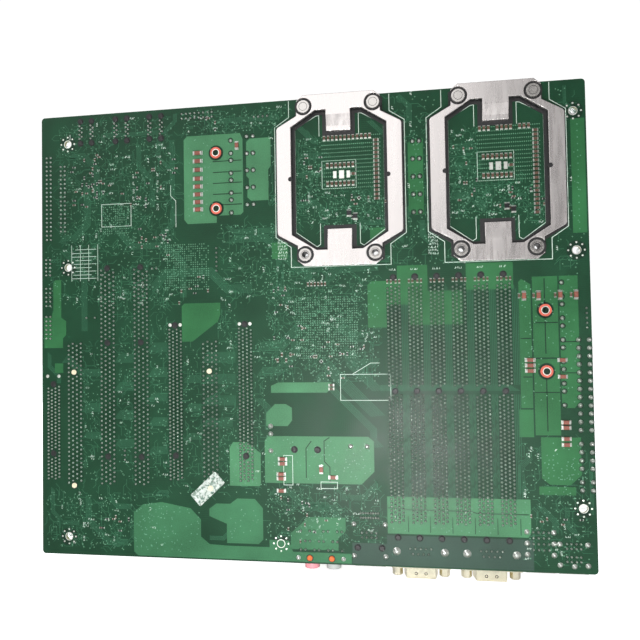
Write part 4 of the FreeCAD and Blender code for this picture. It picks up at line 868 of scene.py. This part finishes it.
def add_solder_side_parts():
    """Decoupling capacitors under the sockets and the regulators, and scattered small parts."""
    chips = Chips(SOLDER_SIDE, "solder_side")
    rows = [(151.7 + 2.27 * k, 231.3) for k in range(12)]
    fewer_rows = [spot for k, spot in enumerate(rows) if k not in (3, 8)]
    centre_rows = [(153.3 + 2.33 * k, up) for up in (216.1, 206.0) for k in range(7)]
    for index, (top_row, height) in enumerate(((rows, 15), (fewer_rows, 20))):
        side_column = [(180.0, 228.7 - 2.27 * k) for k in range(height)]
        for kind, spots, *size in (
                ("ceramic", top_row + centre_rows, 2.5, 1.35, True),
                ("ceramic", side_column + [(167.4, 211)], 2.5, 1.35),
                ("resistor", [(164.8, 189.5), (168.1, 187.7)], 3.2, 2.4, True),
                ("ceramic", [(166.8, 196.6), (168.4, 194.4)], 1.7, 0.9)):
            chips.add(kind, at_socket(index, spots), *size)
    for spots, *size in (
            ([(79.3, up) for up in (227.5, 222.9, 217.9, 212.9, 208.4, 203.9, 199.6, 195.4)],
             4.7, 2.1),
            ([(102.2, 230.5)], 4.0, 2.0, True),
            ([(across, 142.2) for across in (255.2, 262.5, 273.2, 281.0)], 4.2, 2.0, True),
            ([(257.5, up) for up in (108.8, 106, 103.2)], 4.4, 1.9),
            ([(273.5, 108.6), (273.5, 100.1)]
             + [(274.5, up) for up in (76.7, 74, 68.3, 65.3)], 4.0, 1.9),
            ([(125.9, 56.1), (125.9, 53.6), (125.1, 47.9), (125.1, 45.5), (125.1, 38.9),
              (153.7, 46.6)], 4.2, 1.9),
            ([(147.3, 50.7)], 4.0, 1.9, True)):
        chips.add("red_ceramic", spots, *size)
    for spots, *size in (
            ([(across - 2.4, 142.2) for across in (255.2, 262.5, 273.2, 281.0)], 2.2, 1.1, True),
            ([(middle + side, 151.6) for middle in MEMORY_PAD_COLUMNS
              for side in (-3.2, -1.3, 1.3, 3.2)], 1.9, 1.0, True),
            ([(124 + 2.4 * k, 110 + 3 * (k % 2)) for k in range(4)]
             + [(141.5 + 1.9 * k, 151.4) for k in range(6)], 1.9, 1.0, True),
            ([(153.5, 96.2), (153.5, 94.2)], 2.6, 1.3)):
        chips.add("ceramic", spots, *size)
    for field in SMALL_PART_FIELDS:
        for _ in range(field[4]):
            spot = random_spot(field, 1.3)
            if not near_hole(spot):
                chips.add(dice.choice(("ceramic", "resistor")), [spot], 1.55, 0.8,
                          dice.random() < 0.5)
    chips.make()


# ---------------------------------------------------------------- pegs, washers, label

SHELL_HEIGHT = -(1.6 + 6.3 - 4.1)    # board, port centre above it, half of the shell


def add_pegs():
    """Plastic locating pegs that show through the board, and the washers of the cooler holes."""
    for kind, spots in PEGS.items():
        Piece(f"{kind}_peg_rims", "via_hole", "solder_mask").stamp(
            washer(1.5, 1.95, 0.02, 0.06, 20), spots).make()
        Piece(f"{kind}_pegs", "film" if kind == "black" else kind, "header_plastic").stamp(
            lathe([(1.5, 0.0), (1.5, 0.35), (1.15, 0.6)], 20), spots).make()
    Piece("jack_block_feet", "solder", smooth=True).stamp(
        joint(1.3, 0.9, 0.7, 14), [(134, 3), (158.6, 3)]).make()
    Piece("cooler_hole_washers", "washer").stamp(
        washer(1.75, 3.15, 0.0, 0.7, 32), COOLER_HOLES).make()
    Piece("cooler_hole_rims", "tin").stamp(washer(1.7, 2.1, 0.7, 0.78, 28), COOLER_HOLES).make()


def add_plate_details():
    """Painted shade at the studs' recesses, bores and rims and in the shells' dimples, and film at
    the windows' edges.
    """
    # Painted shadow: a ring of the black film material lies on the steel floor of each stud
    # recess, round the stud's flange.
    Piece("stud_recess_shadows", "film", "black_film").stamp(
        washer(3.5, 4.75, 2.72, 2.78, 32), STUD_HOLES).make()
    # Painted shade: a dark metal sleeve lines the bores of the lower studs, where the inside of
    # each bore lies in shade.
    Piece("stud_bore_painted_shade", "shade_metal", "nickel_steel").stamp(
        washer(1.5, 1.74, -5.0, 3.6, 20), [spot for spot in STUD_HOLES if spot[1] < 200]).make()
    # Painted shade: a thin dark ring round the mouth of each stud's bore.
    Piece("stud_rim_painted_shade", "shade_metal", "nickel_steel").stamp(
        washer(2.15, 2.35, 3.8, 3.83, 24), STUD_HOLES).make()
    Piece("film_edge_bumps", "film", "black_film").stamp(
        lathe([(1.3, 3.5), (1.3, 3.66), (1.0, 3.72)], 16),
        [(middle + side, 208.9) for middle, _ in BACKPLATES for side in (-26.6, 26.6)]).make()
    # Painted shade: flat dark metal rings stand in for the shade inside the pressed dimples of the
    # D-port shells.
    Piece("shell_dimple_painted_shade", "shade_metal", "serial_shell", smooth=True).stamp(
        washer(0.5, 0.85, SHELL_HEIGHT - 0.05, SHELL_HEIGHT + 0.03, 16),
        [(middle + side, -4.4) for middle in SERIAL_PORTS for side in (-2.6, 2.6)]).make()


def add_label():
    """Small paper label, stuck on at an angle."""
    cos, sin = math.cos(LABEL_TURN), math.sin(LABEL_TURN)
    outline = [(cos * x - sin * y + 83.1, sin * x + cos * y + 38.9)
               for x, y in chamfered(-9.8, 9.8, -4.2, 4.2, 0.4)]
    Piece("paper_label", "label").slab(outline, 0.06, 0.16).make()


# ---------------------------------------------------------------- silkscreen

def outline_marks(piece, corners, closed=True, width=0.28):
    """Printed line through corners."""
    piece.ribbon(list(corners) + list(corners[:1]) * closed, width, 0, INK_TOP)


def letters(piece, across, up, amount, upright=False, size=1.0):
    """A generic marking: short bars of uneven width that spell nothing."""
    place = 0.0
    for _ in range(amount):
        width = dice.choice((0.5, 0.7, 0.7)) * size
        shapes = dice.choice((((0, 0), (0, 1)), ((0, 0), (0, 1), (1, 1)), ((0, 1), (0, 0), (1, 0)),
                              ((0, 0), (1, 0), (1, 1))))
        line = [(place + x * width, y * size) for x, y in shapes]
        if upright:
            line = [(-y, x) for x, y in line]
        piece.ribbon([(across + x, up + y) for x, y in line], 0.2, 0.03, INK_TOP)
        place += width + 0.35 * size


def add_silkscreen():
    """Outlines of the backplates, chips and connectors, and generic part markings."""
    ink = Piece("silkscreen_marks", "silk")
    middle = BACKPLATES[0][0]
    edge = BOARD_HEIGHT - 0.5
    around = [(132.0, edge), (132.0, 244.3), (124.0, 239.0), (124.0, 177.7), (132.4, 172.0),
              (132.4, 160.9), (187.0, 160.9), (187.0, 172.0), (195.4, 177.7), (195.4, 239.0),
              (187.4, 244.3), (187.4, edge)]
    inside = [(10.9, 232.6), (10.9, 244.2), (12.6, 244.0), (24.4, 237.3), (24.4, 180.1),
              (12.9, 171.8), (10.9, 173), (10.9, 184.5)]
    for index in (0, 1):
        outline_marks(ink, at_socket(index, around), closed=False, width=0.34)
        for hand in (1, -1):
            half = [(middle + hand * x, y) for x, y in inside][::hand]
            outline_marks(ink, at_socket(index, half), closed=False, width=0.3)
        outline_marks(ink, at_socket(index, rectangle(150.2, 168.9, 203.4, 218.8)), width=0.22)
    for box in ((21, 39, 188, 201), (158.5, 185.5, 88, 102), (126.5, 131.5, 42, 58),
                (147, 156, 40.5, 44)):
        outline_marks(ink, rectangle(*box))
    for width, lines in (
            (0.28, [[(165, 102), (175, 108), (180, 108)]]),
            (0.25, [[(66, 186), (66, 201), (63, 204), (63, 210)]]),
            (0.24, [[(2.5 + row % 3, 158.5 + row * 2.1), (17.5 - row % 2 * 3, 158.5 + row * 2.1)]
                    for row in range(9)]),
            (0.22, [[(across, 157), (across, 178)] for across in (2.2, 7.6, 12.8, 18.4)])):
        for line in lines:
            outline_marks(ink, line, closed=False, width=width)
    for slot_middle in MEMORY_MIDDLES:
        letters(ink, slot_middle - 2, 157.6, 5, size=0.8)
    for across in (128.6, 210.6):
        for step in range(7):
            letters(ink, across - 3.5, 165.6 + step * 1.7, 6, size=0.9)
    for left, right, bottom, top, amount in SCATTER:
        for _ in range(int(amount / 14)):
            letters(ink, *random_spot((left, right - 3, bottom, top)), dice.randint(2, 4),
                    upright=dice.random() < 0.4, size=0.8)
    for across in (41, 55.5):
        for row in range(5):
            letters(ink, across, 198 + row * 4.4, 3, upright=True, size=0.9)
    ink.make()


# ---------------------------------------------------------------- component side

def covered_cells():
    """Millimetre cells of the component side that a CAD part stands over."""
    cells = set()
    for name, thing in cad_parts.items():
        if name in ("circuit_board", "backplate_insulators", "left_backplate", "right_backplate"):
            continue
        corners = [((vertex.co.x - ORIGIN_X) / MM, (vertex.co.z - ORIGIN_Z) / MM)
                   for vertex in thing.data.vertices]
        for face in thing.data.polygons:
            across, up = zip(*(corners[index] for index in face.vertices))
            spans = [range(math.floor(min(values)) - 1, math.ceil(max(values)) + 1)
                     for values in (across, up)]
            cells.update((x, y) for x in spans[0] for y in spans[1])
    return cells


# Header pins: (left, right, bottom, top) and the pitch up the board where it isn't the usual one.
HEADER_PINS = [(-13.87, -11.33, 161, 170, PIN_PITCH, 2.25), (-13.87, -11.33, 143.5, 153.7),
               (-13.87, -11.33, 124.05, 136.8), (70.11, 87.9, 248.03, 250.6),
               (89.6, 89.7, 160.55, 173.3), (286, 286.1, 125.12, 135.3), (34.3, 34.4, 54.36, 59.5),
               (12.53, 15.1, 135.6, 135.7), (51.53, 54.1, 163, 163.1), (112.19, 119.9, 246, 246.1)]


def add_pins():
    """Square gold pins of the headers and the plug pins in the ribbon shrouds."""
    pins = Piece("header_pins", "gold", None, PARTS_SIDE)
    for fields, low, high in ((HEADER_PINS, 1.0, 8.4), (RIBBON_PINS, 1.6, 7.4)):
        for field in fields:
            pins.stamp(brick(0.64, 0.64, low, high, 0.2), grid(*field))
    pins.make()


def slot_contacts():
    """Contact springs along the grooves of memory and card slots, with black cells behind them as
    painted shade in the contact pockets.
    """
    springs = Piece("slot_contacts", "gold", None, PARTS_SIDE)
    # Painted shade: black cells behind the springs stand in for the shade in the slots' contact
    # pockets.
    gaps = Piece("slot_pocket_painted_shade", "black", "black_slot", PARTS_SIDE)
    for names, pitch, ridge, reach, margin in (
            (MEMORY_SLOTS, 1.0, 9.6, 1.95, 12.0), (EXPRESS_SLOTS, 1.0, 11.3, 1.75, 3.6),
            (["management_slot"], 1.0, 11.3, 1.75, 3.6), (BUS_SLOTS, 1.27, 14.6, 2.0, 4.0)):
        for name in names:
            left, right, bottom, top = node_box(name)
            for side in (reach, -reach):
                spots = column((left + right) / 2 + side, bottom + margin, top - margin, pitch)
                gaps.stamp(brick(0.9, pitch * 0.62, ridge - 0.3, ridge + 0.02), spots)
                springs.stamp(brick(0.5, pitch * 0.36, ridge - 0.2, ridge + 0.06, 0.02), spots)
    gaps.make()
    springs.make()


def add_socket_contacts():
    """Field of contact springs on the floor of each processor socket."""
    field = [(x, y) for x, y in grid(-16.9, 17.0, -17.6, 17.7, 1.09, 1.17)
             if abs(x) > 6.2 or abs(y) > 6.2]
    sockets = [node_centre(f"{side}_socket_body") for side in ("left", "right")]
    Piece("socket_contacts", "gold", None, PARTS_SIDE).stamp(
        brick(0.42, 0.72, 2.22, 2.5, 0.08),
        [(across + x, up + y) for across, up in sockets for x, y in field]).make()
    Piece("socket_contact_floors", "black", "socket_plastic", PARTS_SIDE).stamp(
        brick(37.4, 38.2, 2.18, 2.26, 0.03), sockets).make()


# Leaded packages: (across, up, width, length, leads along the sides, leads along top and bottom).
PACKAGES = [
    (30, 192, 19, 19, 32, 32), (146, 84, 14, 14, 24, 24), (171.5, 95, 20, 13, 0, 28),
    (147, 35, 9, 9, 12, 12), (24, 219, 14, 20, 28, 0), (118, 92, 8, 14, 16, 0),
    (50, 205, 11.4, 14, 8, 8), (76, 186, 7, 7, 8, 8), (257, 78, 7, 7, 8, 8),
    (29, 226.5, 6, 8, 0, 0),
]


def add_leads():
    """Gull-wing leads of the packages, and tabs and legs of the power transistors."""
    leads = Piece("package_leads", "tin", None, PARTS_SIDE)
    for across, up, width, length, sides, ends in PACKAGES:
        for count, reach, span, turn in ((sides, width / 2, length, 0),
                                         (ends, length / 2, width, math.pi / 2)):
            if not count:
                continue
            pitch = (span - 1.6) / (count - 1)
            foot = brick(1.1, pitch * 0.5, 0.03, 0.2, 0.03)
            knee = brick(0.35, pitch * 0.5, 0.1, 0.6, 0.05)
            for shape, out in ((foot, 0.75), (knee, 0.2)):
                spots = [(hand * (reach + out), -span / 2 + 0.8 + pitch * k)
                         for hand in (1, -1) for k in range(count)]
                if turn:
                    spots = [(y, x) for x, y in spots]
                leads.stamp(shape, [(across + x, up + y) for x, y in spots], turn)
    for across, lowest, pitch, count in ((80.0, 193.0, 7.6, 6), (256.8, 90.0, 8.0, 7)):
        for up in (lowest + pitch * k for k in range(count)):
            leads.stamp(brick(5.0, 1.4, 0.03, 0.5, 0.1), [(across, up - 3.4)])
            leads.stamp(brick(0.8, 1.6, 0.03, 0.4, 0.1), [(across - 2.2, up + 3.5),
                                                          (across + 2.2, up + 3.5)])
    leads.make()


def add_can_tops():
    """Painted shade along the scored vent grooves, and dark polarity marks on the capacitor cans.
    """
    marks = Piece("can_polarity_marks", "black", "can_aluminium", PARTS_SIDE)
    vent_shade_lines = Piece("can_vent_painted_shade", "ferrite", "can_aluminium", PARTS_SIDE)
    can_top, rim = 11.48, 3.7
    for across, up in CANS:
        marks.slab([(across + rim * math.cos(math.radians(angle)),
                     up + rim * math.sin(math.radians(angle))) for angle in range(35, 146, 10)],
                   can_top, can_top + 0.05)
        # Painted shade: dark lines where the vent grooves are scored into the can tops.
        for line in ([(across - 2.4, up), (across + 2.4, up)],
                     [(across, up - 2.4), (across, up + 1.6)]):
            vent_shade_lines.ribbon(line, 0.22, can_top, can_top + 0.06)
    marks.make()
    vent_shade_lines.make()


def add_component_side_dressing():
    """Vias, traces, printed outlines and small parts between the components."""
    taken = covered_cells()
    free = [(x + 0.5, y + 0.5) for x in range(-15, 287) for y in range(1, 253)
            if (x, y) not in taken and not near_hole((x, y))]
    Piece("upper_vias", "via", "solder_mask", PARTS_SIDE).stamp(
        lathe([(0.34, 0), (0.32, 0.04), (0.16, 0.05)], 6),
        [spot for spot in free if dice.random() < 0.1]).make()
    traces = Piece("upper_traces", "trace", "solder_mask", PARTS_SIDE)
    for x, y in free:
        if dice.random() < 0.05:
            length, slant = dice.uniform(3, 9), dice.choice((1, -1))
            for step in range(dice.randint(2, 5)):
                start = x + step * 0.6
                line = [(start, y), (start, y + length), (start + slant * 2, y + length + 2)]
                if on_board(line):
                    traces.ribbon(line, 0.22, *TRACE[1:])
    traces.make()
    chips = Chips(PARTS_SIDE, "upper")
    for x, y in free:
        roomy = all((int(x) + dx, int(y) + dy) not in taken
                    for dx in (-1, 0, 1) for dy in (-1, 0, 1))
        if roomy and dice.random() < 0.03:
            kind = dice.choice(("ceramic", "resistor", "ceramic", "red_ceramic"))
            chips.add(kind, [(x, y)], 1.7, 0.9, upright=dice.random() < 0.5)
    chips.make()
    ink = Piece("upper_silkscreen", "silk", None, PARTS_SIDE)
    for across, up, width, length, _, _ in PACKAGES:
        package = (across - width / 2, across + width / 2, up - length / 2, up + length / 2)
        outline_marks(ink, rectangle(*grown(package, 2.2)))
    for name in ("left_socket_frame", "right_socket_frame"):
        outline_marks(ink, chamfered(*grown(node_box(name), 2), 3))
    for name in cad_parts:
        if "_slot" in name:
            outline_marks(ink, rectangle(*grown(node_box(name), 0.6)), width=0.22)
    for x, y in free:
        if dice.random() < 0.012:
            letters(ink, x, y, dice.randint(2, 3), upright=dice.random() < 0.4, size=0.9)
    ink.make()


# ---------------------------------------------------------------- ports

def port_block(piece, across, lift, width, height, depth_from, depth_to):
    """A bar inside a port: centre across and height, and its depth span up the board."""
    piece.slab(rectangle(across - width / 2, across + width / 2, depth_from, depth_to),
               lift - height / 2, lift + height / 2)


def add_port_insides():
    """Tongues and contacts of the bus ports, contacts of the network jack and the D-port pins."""
    tongues = Piece("port_tongues", "white", None, PARTS_SIDE)
    contacts = Piece("port_contacts", "gold", None, PARTS_SIDE)
    network, stack = 172.8, 260.5
    for across, levels in ((network, 2), (stack, 4)):
        for level in range(levels):
            lift = 1.2 + 7.5 * level + 1.7
            port_block(tongues, across, lift, 10.6, 1.5, 1.2, 9.9)
            for k in range(4):
                port_block(contacts, across - 3.75 + 2.5 * k, lift + 0.78, 1.1, 0.1, 1.8, 8.8)
    for k in range(8):
        port_block(contacts, network - 3.6 + 1.02 * k, 20.0, 0.45, 0.4, 3.0, 10.8)
    inserts = Piece("serial_port_inserts", "black", "header_plastic", PARTS_SIDE)
    pins = Piece("serial_port_pins", "gold", None, PARTS_SIDE)
    for middle in SERIAL_PORTS:
        port_block(inserts, middle, 6.3, 14.6, 7.2, -1.7, -1.3)
        for first, lift, count in ((-5.48, 7.7, 5), (-4.11, 4.9, 4)):
            for k in range(count):
                port_block(pins, middle + first + SERIAL_PITCH * k, lift, 1.0, 1.0, -6.2, -1.6)
    for piece in (tongues, contacts, inserts, pins):
        piece.make()


# ---------------------------------------------------------------- paint on the CAD parts

# Finish of a CAD node by the first of these words that its name holds.
NODE_FINISHES = {
    "circuit_board": "board", "insulators": "film", "backplate_studs": "nickel",
    "backplate": "steel", "socket_body": "socket", "socket_frame": "frame", "load_plate": "frame",
    "load_lever": "nickel", "memory_latch": "white", "express_clip": "white",
    "management_slot": "green", "wide_bus_slot": "green", "bus_slot": "ivory",
    "express_slot": "black", "power_connector": "ivory", "serial_disk_ports": "red",
    "ribbon_headers": "black", "pin_headers": "black", "bridge_chips": "package",
    "heat_sink": "aluminium", "power_chokes": "ferrite", "power_transistors": "epoxy",
    "logic_chips": "epoxy", "electrolytic": "can", "battery_holder": "black",
    "coin_cell": "cell", "microphone_jack": "jack_pink", "side_speaker_jack": "jack_grey",
    "line_out_jack": "jack_lime", "rear_speaker_jack": "jack_black", "line_in_jack": "jack_sky",
    "centre_speaker_jack": "jack_orange", "network_ports": "port", "bus_ports": "port",
    "keyboard_mouse": "port", "serial_port": "shell",
    "memory_slot_1": "blue", "memory_slot_3": "blue", "memory_slot_5": "blue",
    "memory_slot": "black",
}
LAMINATE, HOUSING = tint(146, 150, 104), tint(42, 42, 44)


def recolour_zone(material, axis, low, high, colour):
    """Another colour for a material where an object-space coordinate lies between two values."""
    nodes = Nodes(material)
    old = nodes.tree.nodes["Principled BSDF"].inputs["Base Color"].links[0].from_socket
    place = nodes.new("SeparateXYZ", {0: nodes.where["Object"]}).outputs[axis]
    inside = nodes.math("COMPARE", place, (low + high) / 2, (high - low) / 2)
    nodes.look({"Base Color": nodes.mix(inside, old, colour)})


def paint_cad():
    """Put a finish on every CAD part, bare laminate on the board's edge and dark jack bodies."""
    for name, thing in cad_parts.items():
        key = next(key for word, key in NODE_FINISHES.items() if word in name)
        for place in thing.material_slots:
            place.material = paint[key]
    skin = 0.06 * MM
    recolour_zone(paint["board"], "Y", FACE_Y[SOLDER_SIDE] + skin, FACE_Y[PARTS_SIDE] - skin,
                  LAMINATE)
    for key in COLOURED_JACKS:
        recolour_zone(paint[key], "Z", ORIGIN_Z + 4 * MM, ORIGIN_Z + 40 * MM, HOUSING)


# ---------------------------------------------------------------- camera, light and floor

def add_camera():
    """Camera at the measured viewpoint."""
    lens = bpy.data.cameras.new("camera")
    lens.lens, lens.sensor_width = 35.2, 36.0
    lens.clip_start, lens.clip_end = 0.01, 20.0
    forward = Vector((-0.151, 0.988, 0.029)).normalized()
    right = forward.cross(Vector((0.02, -0.027, 0.999))).normalized()
    up = right.cross(forward)
    camera = bpy.data.objects.new("camera", lens)
    turn = Matrix((right, up, -forward)).transposed().to_4x4()
    camera.matrix_world = Matrix.Translation((0.0584, -0.3372, -0.0795)) @ turn
    bpy.context.scene.collection.objects.link(camera)
    bpy.context.scene.camera = camera


MIDDLE = (0.0, 0.0, -0.07)
# Soft lamps in metres and watts: (place, target, size, power).
LAMPS = {
    "key": ((-0.7, -0.5, 0.7), MIDDLE, 0.6, 2.5), "panel": ((-0.25, -0.9, 0.35), MIDDLE, 0.9, 2.0),
    "glare": ((0.035, -0.34, -0.19), (0.03, 0, -0.14), 0.03, 1.15),
    "fill": ((0.9, -0.7, 0.1), MIDDLE, 0.9, 1), "back": ((0.4, 0.9, 0.7), MIDDLE, 0.9, 4),
    "back_fill": ((-0.7, 0.8, 0.2), MIDDLE, 0.9, 2),
}


def add_lamps():
    """Area lights aimed at their targets."""
    for name, (place, target, size, power) in LAMPS.items():
        light = bpy.data.lights.new(name, "AREA")
        light.shape, light.size, light.energy = "DISK", size, power
        lamp = bpy.data.objects.new(name, light)
        lamp.location = place
        lamp.rotation_euler = (Vector(target) - Vector(place)).to_track_quat("-Z", "Y").to_euler()
        lamp.visible_camera = False
        bpy.context.scene.collection.objects.link(lamp)


def add_world():
    """White backdrop for the camera, and a dimmer light that grows from below to above."""
    world = bpy.data.worlds.new("studio")
    bpy.context.scene.world = world
    nodes = Nodes(world)
    height = nodes.new("SeparateXYZ", {0: nodes.where["Generated"]}).outputs["Z"]
    light = nodes.tree.nodes["Background"]
    light.inputs["Strength"].default_value = 0.36
    nodes.put(light.inputs["Color"], nodes.span(height, 0.25, 1.35, -0.8, 0.9))
    backdrop = nodes.new("Background", {"Color": (1, 1, 1, 1), "Strength": 1.05})
    seen = nodes.new("LightPath").outputs["Is Camera Ray"]
    both = nodes.new("MixShader", {0: seen, 1: light.outputs[0], 2: backdrop.outputs[0]})
    nodes.put(nodes.tree.nodes["World Output"].inputs[0], both.outputs[0])


def add_floor():
    """White paper just below the lowest point, brighter for the camera than as a light."""
    lowest = min(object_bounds()[0][2], cad_box[0][2])
    bpy.ops.mesh.primitive_plane_add(size=6.0, location=(0, 0, lowest - 0.0002))
    floor = bpy.context.object
    floor.name = "studio_floor"
    nodes = Nodes(bpy.data.materials.new("floor_paper"))
    seen = nodes.new("LightPath").outputs["Is Camera Ray"]
    floor.data.materials.append(nodes.look({
        "Base Color": (0.86, 0.86, 0.86, 1), "Roughness": 0.9, "Specular IOR Level": 0.1,
        "Emission Color": (1, 1, 1, 1), "Emission Strength": nodes.span(seen, 0.2, 0.85, 0, 1)}))


paint_cad()
add_pours()
add_traces()
add_vias()
add_joints()
add_solder_side_parts()
add_pegs()
add_plate_details()
add_label()
add_silkscreen()
add_pins()
slot_contacts()
add_socket_contacts()
add_leads()
add_can_tops()
add_component_side_dressing()
add_port_insides()
add_camera()
add_world()
add_floor()
add_lamps()
bpy.context.scene.view_settings.view_transform = "Standard"
